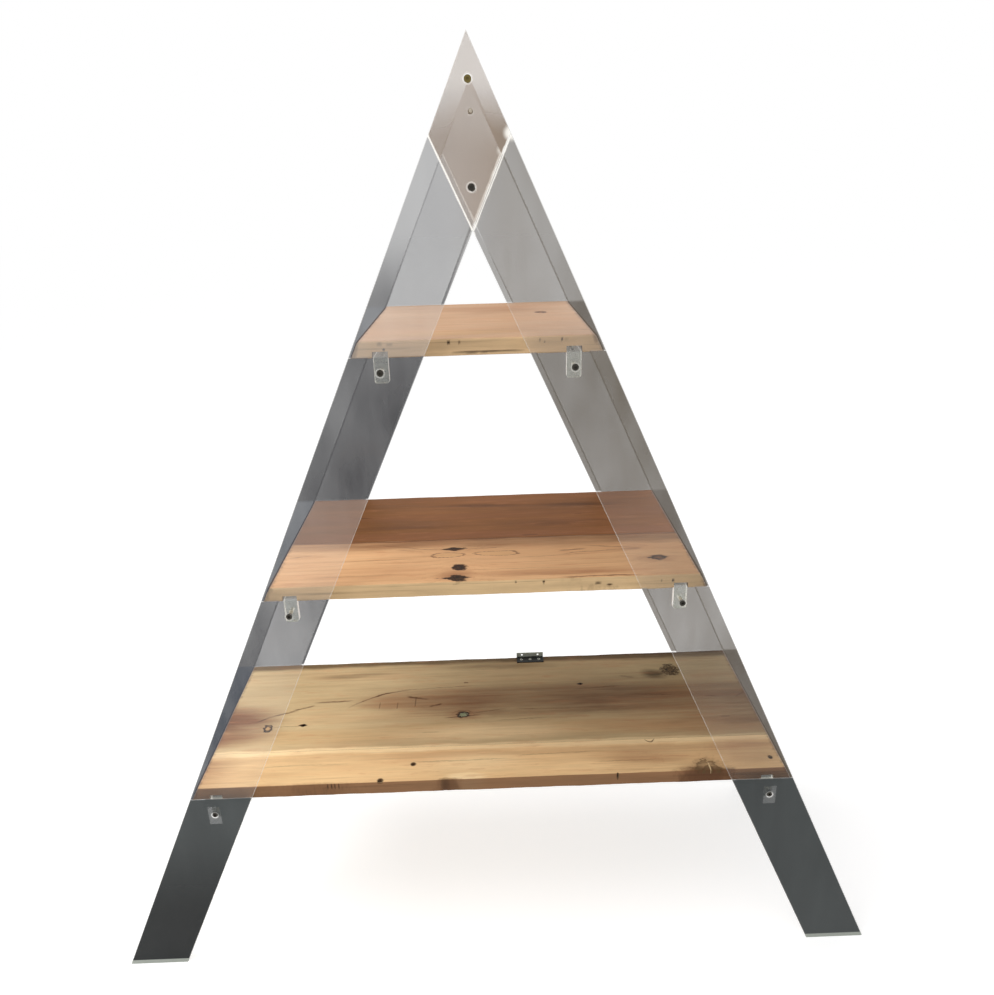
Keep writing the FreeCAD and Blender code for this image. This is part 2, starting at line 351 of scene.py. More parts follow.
class Shader(Graph):
    """A material under construction, with one Principled shader on its output."""

    def __init__(self, name):
        self.material = bpy.data.materials.new(name)
        self.material.use_nodes = True
        super().__init__(self.material.node_tree)
        self.surface = self.node("ShaderNodeBsdfPrincipled")
        self.node("ShaderNodeOutputMaterial", Surface=self.surface.outputs["BSDF"])
        places = self.node("ShaderNodeTexCoord").outputs
        self.point = places["Object"]
        self.facing = places["Normal"]

    def split(self, vector):
        """The three parts of a vector, as values."""
        made = self.node("ShaderNodeSeparateXYZ", Vector=vector)
        return [Value(self, output) for output in made.outputs]

    def noise(self, repeats, detail, roughness=0.5, offset=(0, 0, 0)):
        """Smooth noise from -0.5 to 0.5, with so many repeats in a metre along each axis."""
        place = self.node("ShaderNodeMapping", Vector=self.point, Scale=repeats, Location=offset)
        made = self.node("ShaderNodeTexNoise", Vector=place.outputs[0], Scale=1.0, Detail=detail,
                         Roughness=roughness)
        return Value(self, made.outputs[0]) - 0.5

    def ease(self, value, start, end, low=0.0, high=1.0):
        """A smooth step of value: low at start, high at end."""
        settings = {"interpolation_type": "SMOOTHSTEP", "clamp": True}
        made = self.node("ShaderNodeMapRange", settings, i0=value, i1=start, i2=end, i3=low, i4=high)
        return Value(self, made.outputs[0])

    def clamp(self, value):
        """A value kept from 0 to 1."""
        return Value(self, self.node("ShaderNodeClamp", Value=value).outputs[0])

    def mirror(self, ior):
        """The share of light that a smooth surface mirrors, which grows towards its rim."""
        return Value(self, self.node("ShaderNodeFresnel", IOR=ior).outputs[0])

    def blend(self, factor, first, second, mode="MIX"):
        """Two colours mixed by a factor."""
        settings = {"data_type": "RGBA", "blend_type": mode, "clamp_factor": True}
        made = self.node("ShaderNodeMix", settings, i0=factor, i6=first, i7=second)
        return made.outputs[2]

    def brighten(self, colour, factor):
        """A colour times a number that varies."""
        made = self.node("ShaderNodeVectorMath", {"operation": "SCALE"}, i0=colour, Scale=factor)
        return made.outputs[0]

    def relief(self, height, distance):
        """Bump from a height that runs from 0 to 1, in metres of distance."""
        made = self.node("ShaderNodeBump", Height=height, Distance=distance, Strength=1.0)
        self.feed(self.surface.inputs["Normal"], made.outputs[0])

    def finish(self, **inputs):
        """Sets the Principled shader's sockets, named with _ for a space, and gives the material."""
        for key, value in inputs.items():
            self.feed(self.surface.inputs[key.replace("_", " ")], value)
        return self.material


# Acrylic

ACRYLIC_IOR = 1.49
LEG_SPECULAR = 0.12
MIRROR_SHARE = 0.7              # how far a mirroring surface closes the clear sheet
SOFT_EDGE = 1 * MM              # half width of the painted edges

# Heights on a front leg between which a shelf is seen through it: its front foot and its rear edge
SHELF_ENDS = (0.389, 0.780, 1.1705)
SHELF_STARTS = (0.657, 0.948, 1.240)
SHELF_EDGE = 1.5 * MM
BAY_EDGE = 5 * MM
REAR_CHANGE = 20 * MM           # a rear leg's haze steps this far below a shelf's top
BAY_LEAN = (0.02, 0.05, -0.25)  # each bay's left legs are denser by this share, the right ones thinner
STRIP_START = 5 * MM            # width of a front leg's outer strip of painted shade at a shelf's top

# Screws in a frame
SCREW_RING = 6.2 * MM           # radius of the frosted ring round a screw
SCREW_RING_WIDTH = 2.0 * MM     # its half width
SCREW_SURROUND = 8.0 * MM       # radius of the area that a screw and its hole take up
RING_FROST = 0.25               # of the rings in the painted shade of the feet
RING_CLEAR_FROST = 0.3          # more of it above that painted shade
HOLE_SHADE = 0.85               # side frost that is missing in the holes
PLATE_WINDOW = 0.1              # share of the feet's painted shade that is missing in front of a bracket's plate

# Bright lines on the faces: painted highlights of the sawn edges and seams, and a painted glint
CHATTER = ((60, 60, 60), 3.0)   # a noise: repeats in a metre along each axis, detail, roughness, offset
CHATTER_WIDTH = 1.6             # how far the lines' width wanders
SEAM_MARGIN = 3 * MM            # seams reach this far past the lapped joint,
SEAM_FADE = 8 * MM              # and have turned into sawn edges here
SEAM_BLEND = 20 * MM            # half width of the blend from the left to the right seam
SEAM_SHARES = (0.7, 1.25)       # width of the left and the right seam
LINE_CRISPNESS = 1.6
LINE_FADE = 0.15                # how much fainter than a seam a sawn edge is
LINE_BAY_FADE = 0.65            # more of that in the bays
LINE_RIGHT_FADE = 0.2           # and on the right legs
OUTER_LINE_SHARE = 0.4
INNER_LINE_SHARE = 0.95
CORNER_GLINT_REACH = (13 * MM, 4 * MM)  # painted glint at a corner of the lapped joint, from its rim to where it is full
CORNER_GLINT_SHARE = 0.9

# Haze: partly a tint of the sheet, partly painted shade and painted reflection of what lies behind the
# legs
KITE_EDGE = 2 * MM
KITE_HAZE = 0.34                # extra haze of the lapped joint
KITE_REAR_LESS = 0.18           # less of it in the rear frame
KITE_TINT = 0.8                 # how far it has the apex's colour
MIDDLE_BLEND = 60 * MM          # half width of the blend from the left to the right legs
TIP_REACH = (0.14, 0.05)        # below the apex: where its haze starts, and where it is full
STRIP_HAZE = 0.2                # extra painted shade of the dark strips in the bays, and of the left ones
STRIP_LEFT_HAZE = 0.05
STRIP_TOP_HAZE = 0.55           # most of the extra painted shade round the top shelf's rear edge
STRIP_TOP_REACH = 0.11          # how far above and below that edge it reaches
STRIP_TINT = 0.85               # how far the strips beside the shelves have their own colour of painted shade
SMOKE = ((3.0, 1.0, 2.2), 3.0)
SMOKE_DEPTH = 0.45              # how much the smoke varies the haze
MIST = ((11.0, 2.0, 2.6), 3.0, 0.55, (3.1, 0.0, 1.7))
MIST_DEPTH = 0.4                # how much the mist varies the haze
MIST_TINT = 0.7                 # and its brightness
FOOT_SHADE_TOP = 0.1            # height below which the painted shade of the left feet is darkest
FOOT_SHADE_LEVELS = (0.25, 1.05)      # brightness of the left feet's painted shade there, and at the bottom shelf
FOOT_RIGHT_SHADE_LEVEL = 0.84

# Sawn sides and frosted faces
SIDE_FROST = 0.45               # frost of a sawn side
SIDE_BAY_LESS = 0.25            # less of it in the bays
SIDE_REAR_LESS = 0.12           # and still less there on the rear legs
SIDE_ALPHA = 0.55
# painted glow of a sawn side
SIDE_GLOW = 0.4
HAZE_GLOW_LEVEL = 0.9             # brightness of the haze's painted glow
FROST_ALPHA = 0.95
FOOT_STRIP_ALPHA = 0.9
FOOT_STRIP_EDGE = 0.1           # share of the foot strip's height over which it ends
SCRATCHES = ((40, 900, 900), 3.0)
POLISHED = 0.06                 # roughness of the clear sheet, and what frost and scratches add to it
FROSTED = 0.4
SCRATCHED = 0.05

# Smooth steps of a part of the normal, for the faces that count as turned that way
BROAD_TURN = (0.5, 0.9)
SIDE_TURN = (0.75, 0.35)
NOT_DOWN_TURN = (-0.9, -0.6)


def screw_places():
    """X and Z of the screws that show on a frame: one at each bracket, two on the kite's middle line."""
    places = []
    for shelf in SHELVES:
        low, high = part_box(bracket_name(shelf, "front", "right"))
        places.append(((low.x + high.x) / 2, (low.z + shelf_span(shelf)[0]) / 2))
    low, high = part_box("apex_screws")
    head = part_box("bracket_screws")[1].x - places[0][0]
    places.append((0.0, low.z + head))
    places.append((0.0, high.z - head))
    return places


class LegPlaces:
    """Where a point lies on the legs.

    Its distance from a leg's outer edge is (half the spread at its height, less or plus x) times the
    cosine of the splay. The rest are 1 where the name holds and 0 elsewhere: the kite of the lapped
    joint, the rear legs, the right legs, clear above the painted shade of the feet, the tip, the broad
    face that looks away from the shelves, and a sawn side.
    """

    def __init__(self, shader):
        self.x, self.y, self.z = shader.split(shader.point)
        turn = shader.split(shader.facing)
        self.width = 2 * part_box("front_left_leg")[1].x * math.cos(SPLAY)
        reach = HALF_SPREAD * (1 - self.z / OVERALL_HEIGHT)
        self.from_left = (reach + self.x) * math.cos(SPLAY)
        self.from_right = (reach - self.x) * math.cos(SPLAY)
        self.nearest = shader.smaller(self.from_left, self.from_right)
        self.farthest = shader.larger(self.from_left, self.from_right)
        self.kite = shader.ease(self.farthest, self.width + KITE_EDGE, self.width - KITE_EDGE)
        self.rear = shader.ease(self.y, -FRAME_INNER, FRAME_INNER)
        self.right = shader.ease(self.x, -MIDDLE_BLEND, MIDDLE_BLEND)
        foot_shade_end = between(self.rear, SHELF_ENDS[0], shelf_span("bottom")[1] - REAR_CHANGE)
        self.clear = shader.ease(self.z - foot_shade_end, -SHELF_EDGE, SHELF_EDGE)
        start, full = TIP_REACH
        self.tip = shader.ease(self.z, OVERALL_HEIGHT - start, OVERALL_HEIGHT - full)
        outermost = shader.ease(abs(self.y), FRAME_OUTER - 2 * SOFT_EDGE, FRAME_OUTER - SOFT_EDGE)
        self.broad = shader.ease(abs(turn[1]), *BROAD_TURN) * outermost
        self.side = shader.ease(abs(turn[1]), *SIDE_TURN) * shader.ease(turn[2], *NOT_DOWN_TURN)


def bay_haze_and_shade(shader, settings, at):
    """Veil over the shelves, haze of the bays, where the bays lie, and the dark outer strip of a leg, all
    partly painted shade and painted reflection.

    A front leg has the veil, a painted reflection, and a rear leg the haze, which steps from bay to bay.
    The outer strip of a front leg is painted shade; it widens evenly from a shelf's top to where that
    shelf's rear edge is seen.
    """
    full = (settings.lower_density, settings.middle_density, settings.upper_density)
    veil = shader.ease(at.z, SHELF_STARTS[0], SHELF_ENDS[2], settings.low_veil, settings.left_veil)
    veil = between(at.right, veil, veil * settings.right_veil)
    strip_width = between(at.right, settings.left_outer, settings.right_outer)
    ends = (*SHELF_ENDS[1:], 2 * OVERALL_HEIGHT)
    haze = full[0]
    bay = 0.0
    strip = 0.0
    for index, shelf in enumerate(SHELVES):
        top = shelf_span(shelf)[1]
        lean = BAY_LEAN[index]
        change = between(at.rear, SHELF_ENDS[index], top - REAR_CHANGE)
        step = shader.ease(at.z - change, -SHELF_EDGE, SHELF_EDGE)
        haze = between(step, haze, full[index] * (1 + lean - at.right * (2 * lean)))
        above = shader.ease(at.z - SHELF_ENDS[index], -SHELF_EDGE, SHELF_EDGE)
        below = shader.ease(at.z, ends[index] + SHELF_EDGE, ends[index] - SHELF_EDGE)
        start = SHELF_STARTS[index]
        bay = shader.ease(at.z, start, start + BAY_EDGE) * below + bay
        width = between(shader.clamp((at.z - top) / (start - top)), STRIP_START, strip_width)
        beside = shader.ease(at.nearest - width, SOFT_EDGE, -SOFT_EDGE)
        strip = shader.larger(beside * above * below, strip)
    return veil, haze, shader.clamp(bay + at.rear), strip * (1 - at.rear)


def screw_surround(shader, at):
    """Frosted rings round the screws, the area that they and their holes take up, and the bracket plates.

    All three are found from the distance to each screw; a plate is a soft-edged rectangle about its own.
    """
    rings = 0.0
    holes = 0.0
    plates = 0.0
    for index, (screw_x, screw_z) in enumerate(screw_places()):
        span_x = abs(at.x) - abs(screw_x)
        span_z = at.z - screw_z
        radius = (span_x * span_x + span_z * span_z) ** 0.5
        ring = shader.clamp(1 - abs(radius - SCREW_RING) / SCREW_RING_WIDTH)
        rings = shader.larger(ring, rings)
        holes = shader.larger(shader.ease(radius, SCREW_SURROUND, SCREW_SURROUND - SOFT_EDGE), holes)
        if index < len(SHELVES):
            low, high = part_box(bracket_name(SHELVES[index], "front", "right"))
            half_x = (high.x - low.x) / 2
            half_z = screw_z - low.z
            plate = shader.ease(abs(span_x), half_x + SOFT_EDGE, half_x - SOFT_EDGE)
            plate = plate * shader.ease(abs(span_z), half_z + SOFT_EDGE, half_z - SOFT_EDGE)
            plates = shader.larger(plate, plates)
    return rings, holes, plates


def leg_bright_lines(shader, settings, at, bay):
    """Bright lines on a leg's face: painted highlights of its sawn edges and of the seams of the lapped
    joint, and a painted glint at a corner of the joint.

    Sawn lines lie where the distance from an outer edge is 0 or one leg width, and fade in the haze.
    """
    chatter = shader.noise(*CHATTER) * CHATTER_WIDTH + 1.0
    outer_line = shader.clamp(1 - at.nearest / (chatter * settings.edge_line))
    inner_gap = shader.smaller(abs(at.from_left - at.width), abs(at.from_right - at.width))
    in_kite = shader.ease(at.nearest, at.width + SEAM_MARGIN, at.width)
    in_kite = in_kite * shader.ease(at.farthest, at.width + SEAM_FADE, at.width + SEAM_MARGIN)
    seam_width = settings.seam_line * shader.ease(at.x, -SEAM_BLEND, SEAM_BLEND, *SEAM_SHARES)
    inner_width = chatter * between(in_kite, settings.edge_line, seam_width)
    inner_line = shader.clamp((1 - inner_gap / inner_width) * LINE_CRISPNESS)
    fade = bay * LINE_BAY_FADE + shader.ease(at.x, 0.0, MIDDLE_BLEND, 0.0, LINE_RIGHT_FADE) + LINE_FADE
    inner_line = inner_line * (1 - (1 - in_kite) * fade)
    frost_and_glint = shader.larger(outer_line * OUTER_LINE_SHARE, inner_line * INNER_LINE_SHARE)
    # A painted glint at a corner of the lapped joint
    kite_corner = at.width / (2 * math.cos(SPLAY))
    span_x = at.x - kite_corner
    span_z = at.z - OVERALL_HEIGHT * (1 - kite_corner / HALF_SPREAD)
    chip = shader.ease((span_x * span_x + span_z * span_z) ** 0.5, *CORNER_GLINT_REACH)
    return shader.clamp(shader.larger(frost_and_glint, chip * CORNER_GLINT_SHARE))


def leg_density(shader, settings, at, veil, haze, bay, outer, clouds):
    """Share of light that a leg's broad face stops: veil or haze, dark strips, kite, tip and the painted
    shade of the feet.
    """
    # Dark outer and inner strips in the bays are painted shade
    inner_start = at.width - between(at.right, settings.left_inner, settings.right_inner)
    inner = shader.ease(at.nearest - inner_start, -SOFT_EDGE, SOFT_EDGE)
    inner = inner * bay * (1 - at.kite) * (1 - at.rear)
    wedge = between(at.right, settings.left_wedge, settings.right_wedge)
    wedge = between(shader.ease(at.z, SHELF_STARTS[0], SHELF_STARTS[2]), wedge, settings.top_wedge)
    round_top = shader.ease(abs(at.z - SHELF_STARTS[2]), STRIP_TOP_REACH, 0.0, 0.0, STRIP_TOP_HAZE)
    strip_haze = haze + (1 - haze) * (STRIP_HAZE + (1 - at.right) * (STRIP_LEFT_HAZE + round_top))
    density = between(at.rear, veil, haze)
    density = between(shader.larger(outer, inner), density, between(bay, wedge, strip_haze))
    density = density + at.kite * (KITE_HAZE - at.rear * KITE_REAR_LESS)
    density = between(at.tip, density, settings.tip_density) * clouds
    return between(at.clear, settings.foot_shade_density, density)


def leg_tint(shader, settings, at, bay, outer):
    """Colour of a leg's haze, partly painted shade and reflection: left or right, pale at the apex, dark
    beside the shelves and at the feet, where it is painted shade.
    """
    tint = shader.blend(at.right, settings.left_tint, settings.right_tint)
    tint = shader.blend(shader.larger(at.tip, at.kite * KITE_TINT), tint, settings.tip_tint)
    # The strips beside the shelves take the colour of their painted shade
    strip_shade_tint = shader.blend(at.right, settings.left_strip_shade, settings.right_strip_shade)
    tint = shader.blend(outer * (1 - bay) * STRIP_TINT, tint, strip_shade_tint)
    tint = shader.blend(shader.larger(bay, outer), settings.veil_tint, tint)
    # Painted shade at the feet, darkest near the floor on the left legs
    foot_shade_level = shader.ease(at.z, FOOT_SHADE_TOP, SHELF_ENDS[0], *FOOT_SHADE_LEVELS)
    foot_shade_level = between(at.right, foot_shade_level, FOOT_RIGHT_SHADE_LEVEL)
    return shader.blend(at.clear, shader.brighten(settings.foot_shade_tint, foot_shade_level), tint)


def leg_acrylic(settings):
    """Clear acrylic with a grey haze in the bays, partly painted shade and reflection, painted shade at
    the feet and bright sawn edges with painted highlights.

    Veil and haze lie on the face that looks away from the shelves, and the faces inside the frame are
    clear. Most of the haze's colour is given as emission, a painted glow that stays the same under any
    lamp, and the bright lines and sides glow too.
    """
    shader = Shader("clear_acrylic")
    at = LegPlaces(shader)
    smoke = shader.noise(*SMOKE)
    mist = shader.noise(*MIST)
    rings, holes, plates = screw_surround(shader, at)
    veil, haze, bay, outer = bay_haze_and_shade(shader, settings, at)
    frost_and_glint = leg_bright_lines(shader, settings, at, bay)
    clouds = 1 + smoke * SMOKE_DEPTH + mist * MIST_DEPTH
    density = leg_density(shader, settings, at, veil, haze, bay, outer, clouds)
    density = density * (1 - plates * (1 - at.rear) * (1 - at.clear) * PLATE_WINDOW)
    tint = shader.brighten(leg_tint(shader, settings, at, bay, outer), 1 + mist * MIST_TINT)

    strip_end = (settings.foot_line * (1 + FOOT_STRIP_EDGE), settings.foot_line * (1 - FOOT_STRIP_EDGE))
    strip = shader.ease(at.z, *strip_end)
    # Frosted rings round the screws join the painted lines and glint, and glow with them
    frost_and_glint = shader.larger(frost_and_glint, rings * (RING_FROST + at.clear * RING_CLEAR_FROST))
    side = at.side * (1 - holes * HOLE_SHADE)
    side = side * (SIDE_FROST - bay * (SIDE_BAY_LESS + at.rear * SIDE_REAR_LESS))
    alpha = shader.larger(between(frost_and_glint, density, FROST_ALPHA), strip * FOOT_STRIP_ALPHA)
    alpha = alpha + shader.mirror(ACRYLIC_IOR) * (1 - alpha) * MIRROR_SHARE
    alpha = alpha * at.broad + side * SIDE_ALPHA
    colour = shader.blend(frost_and_glint, tint, settings.edge_tone)
    colour = shader.blend(strip, colour, settings.foot_strip)
    colour = shader.blend(side, colour, settings.edge_tone)
    # Painted glow: most of the haze's colour, the bright lines, the rings and the sawn sides shine as
    # emission
    haze_glow_share = (1 - frost_and_glint) * (1 - side) * (1 - strip) * settings.haze_glow
    glow = shader.brighten(settings.edge_tone, frost_and_glint * at.broad * (1 - strip) + side * SIDE_GLOW)
    scattered = shader.brighten(colour, haze_glow_share * (HAZE_GLOW_LEVEL / settings.painted_glow))
    glow = shader.blend(1.0, glow, scattered, "ADD")
    colour = shader.brighten(colour, 1 - haze_glow_share)
    scratch = shader.noise(*SCRATCHES) + 0.5
    roughness = POLISHED + frost_and_glint * FROSTED + scratch * SCRATCHED
    return shader.finish(Base_Color=colour, Alpha=shader.clamp(alpha), Roughness=roughness,
                         IOR=ACRYLIC_IOR, Specular_IOR_Level=LEG_SPECULAR,
                         Emission_Color=glow, Emission_Strength=settings.painted_glow)


BRACKET_CLOUD = ((90, 90, 120), 3.0)
BRACKET_CLOUD_DEPTH = 0.8
BRACKET_EDGE_ALPHA = 0.85
BRACKET_SUNK_CLEAR = 0.9        # haze that is missing in the housing
BRACKET_FACE_GLOW = 0.3         # of the edges' painted glow, on the faces
BRACKET_EDGE_TURN = (0.4, 0.8)
BRACKET_POLISHED = 0.12
BRACKET_SAWN = 0.3              # roughness that the saw-cut edges add


def bracket_acrylic(settings):
    """Heat-bent clear acrylic: pale haze on the plate, clear in the housing, bright saw-cut edges with a
    painted glow.
    """
    shader = Shader("bracket_acrylic")
    z = shader.split(shader.point)[2]
    turn = shader.split(shader.facing)
    sunk = 0.0
    for shelf in SHELVES:
        under = shelf_span(shelf)[0]
        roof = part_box(bracket_name(shelf, "front", "left"))[1].z
        inside = shader.ease(z, under, under + 2 * SOFT_EDGE)
        sunk = inside * shader.ease(z, roof + 2 * SOFT_EDGE, roof + SOFT_EDGE) + sunk
    edge = shader.ease(abs(turn[0]), *BRACKET_EDGE_TURN)
    cloud = shader.noise(*BRACKET_CLOUD)
    density = settings.bracket_density * (1 + cloud * BRACKET_CLOUD_DEPTH)
    alpha = between(edge, density, BRACKET_EDGE_ALPHA) * (1 - sunk * BRACKET_SUNK_CLEAR)
    alpha = alpha + shader.mirror(ACRYLIC_IOR) * (1 - alpha) * MIRROR_SHARE
    colour = shader.blend(edge, settings.bracket_tint, settings.edge_tone)
    # Painted glow on the edges, fainter on the faces, none in the housing
    glow = shader.brighten(settings.edge_tone, between(edge, BRACKET_FACE_GLOW, 1.0) * (1 - sunk))
    roughness = BRACKET_POLISHED + edge * BRACKET_SAWN
    return shader.finish(Base_Color=colour, Alpha=shader.clamp(alpha), Roughness=roughness,
                         IOR=ACRYLIC_IOR, Emission_Color=glow, Emission_Strength=settings.painted_glow)


# Wood

KNOT_BLACK = srgb(42, 30, 21)
KNOT_BROWN = srgb(88, 56, 34)
KNOT_HEART = srgb(150, 124, 86)
KNOT_OLIVE = srgb(92, 74, 46)
GRIME_AND_SHADE = srgb(30, 22, 16)
SAPWOOD = srgb(255, 226, 176)
# dark brown of the strip and patches along the bottom rear plank's rear edge
REAR_EDGE_BROWN = srgb(112, 90, 60)
HONEY = srgb(206, 164, 112)
SAGE = srgb(168, 176, 140)
RUSSET = srgb(150, 98, 64)
CHESTNUT = srgb(118, 78, 48)
UMBER = srgb(86, 54, 33)


@dataclass
class Knot:
    """A knot in a board's top face, in millimetres.

    x and y are its middle, long and wide its half length along the grain and half width across it.
    point is 2 for a round knot and about 1 for a spindle, core how dark it is, heart the pale share of
    its radius, broken how far it is broken up, soft the share of its radius over which it fades, rings
    how many rings it shows, depth how far it goes down, lift how many rings of the board it bends, tone
    its dark colour and pale its heart's.
    """
    x: float
    y: float
    long: float
    wide: float
    point: float = 2.0
    core: float = 1.0
    heart: float = 0.0
    broken: float = 0.0
    soft: float = 0.4
    rings: float = 0.0
    depth: float = 12.0
    lift: float = 1.2
    tone: tuple = KNOT_BLACK
    pale: tuple = KNOT_HEART


@dataclass
class Grain:
    """A thin dark line of the figure, in millimetres.

    x and y are its middle, long its half length and wide its half width. It slopes by tilt and rises by
    bend at both ends.
    """
    x: float
    y: float
    long: float
    wide: float = 2.0
    tilt: float = 0.0
    bend: float = 0.0
    dark: float = 0.5


@dataclass
class Patch:
    """A soft oval stain in millimetres: middle, half length, half width, colour and strength.

    soft is the share of its radius over which it fades, and rim the strength of a thin line round it.
    """
    x: float
    y: float
    long: float
    wide: float
    tone: tuple
    strength: float = 0.5
    soft: float = 0.5
    rim: float = 0.0


@dataclass
class Band:
    """A stripe along a board, in millimetres: middle, half width, colour and strength at each end."""
    y: float
    wide: float
    tone: tuple
    left: float
    right: float


@dataclass
class Board:
    """How one plank is figured.

    spacing of the rings, pith beside and below the face, in millimetres; tilt of the pith along the
    board; seed of its noise; contrast of the rings and how far they wander; brightness at its two ends,
    which is painted light and shade along the board.
    """
    spacing: float
    pith_y: float
    pith_z: float
    tilt: float
    seed: float
    contrast: float
    wander: float
    # left and right: painted light, the board's brightness at each end
    left: float
    right: float
    knots: tuple = ()
    grains: tuple = ()
    patches: tuple = ()
    bands: tuple = ()


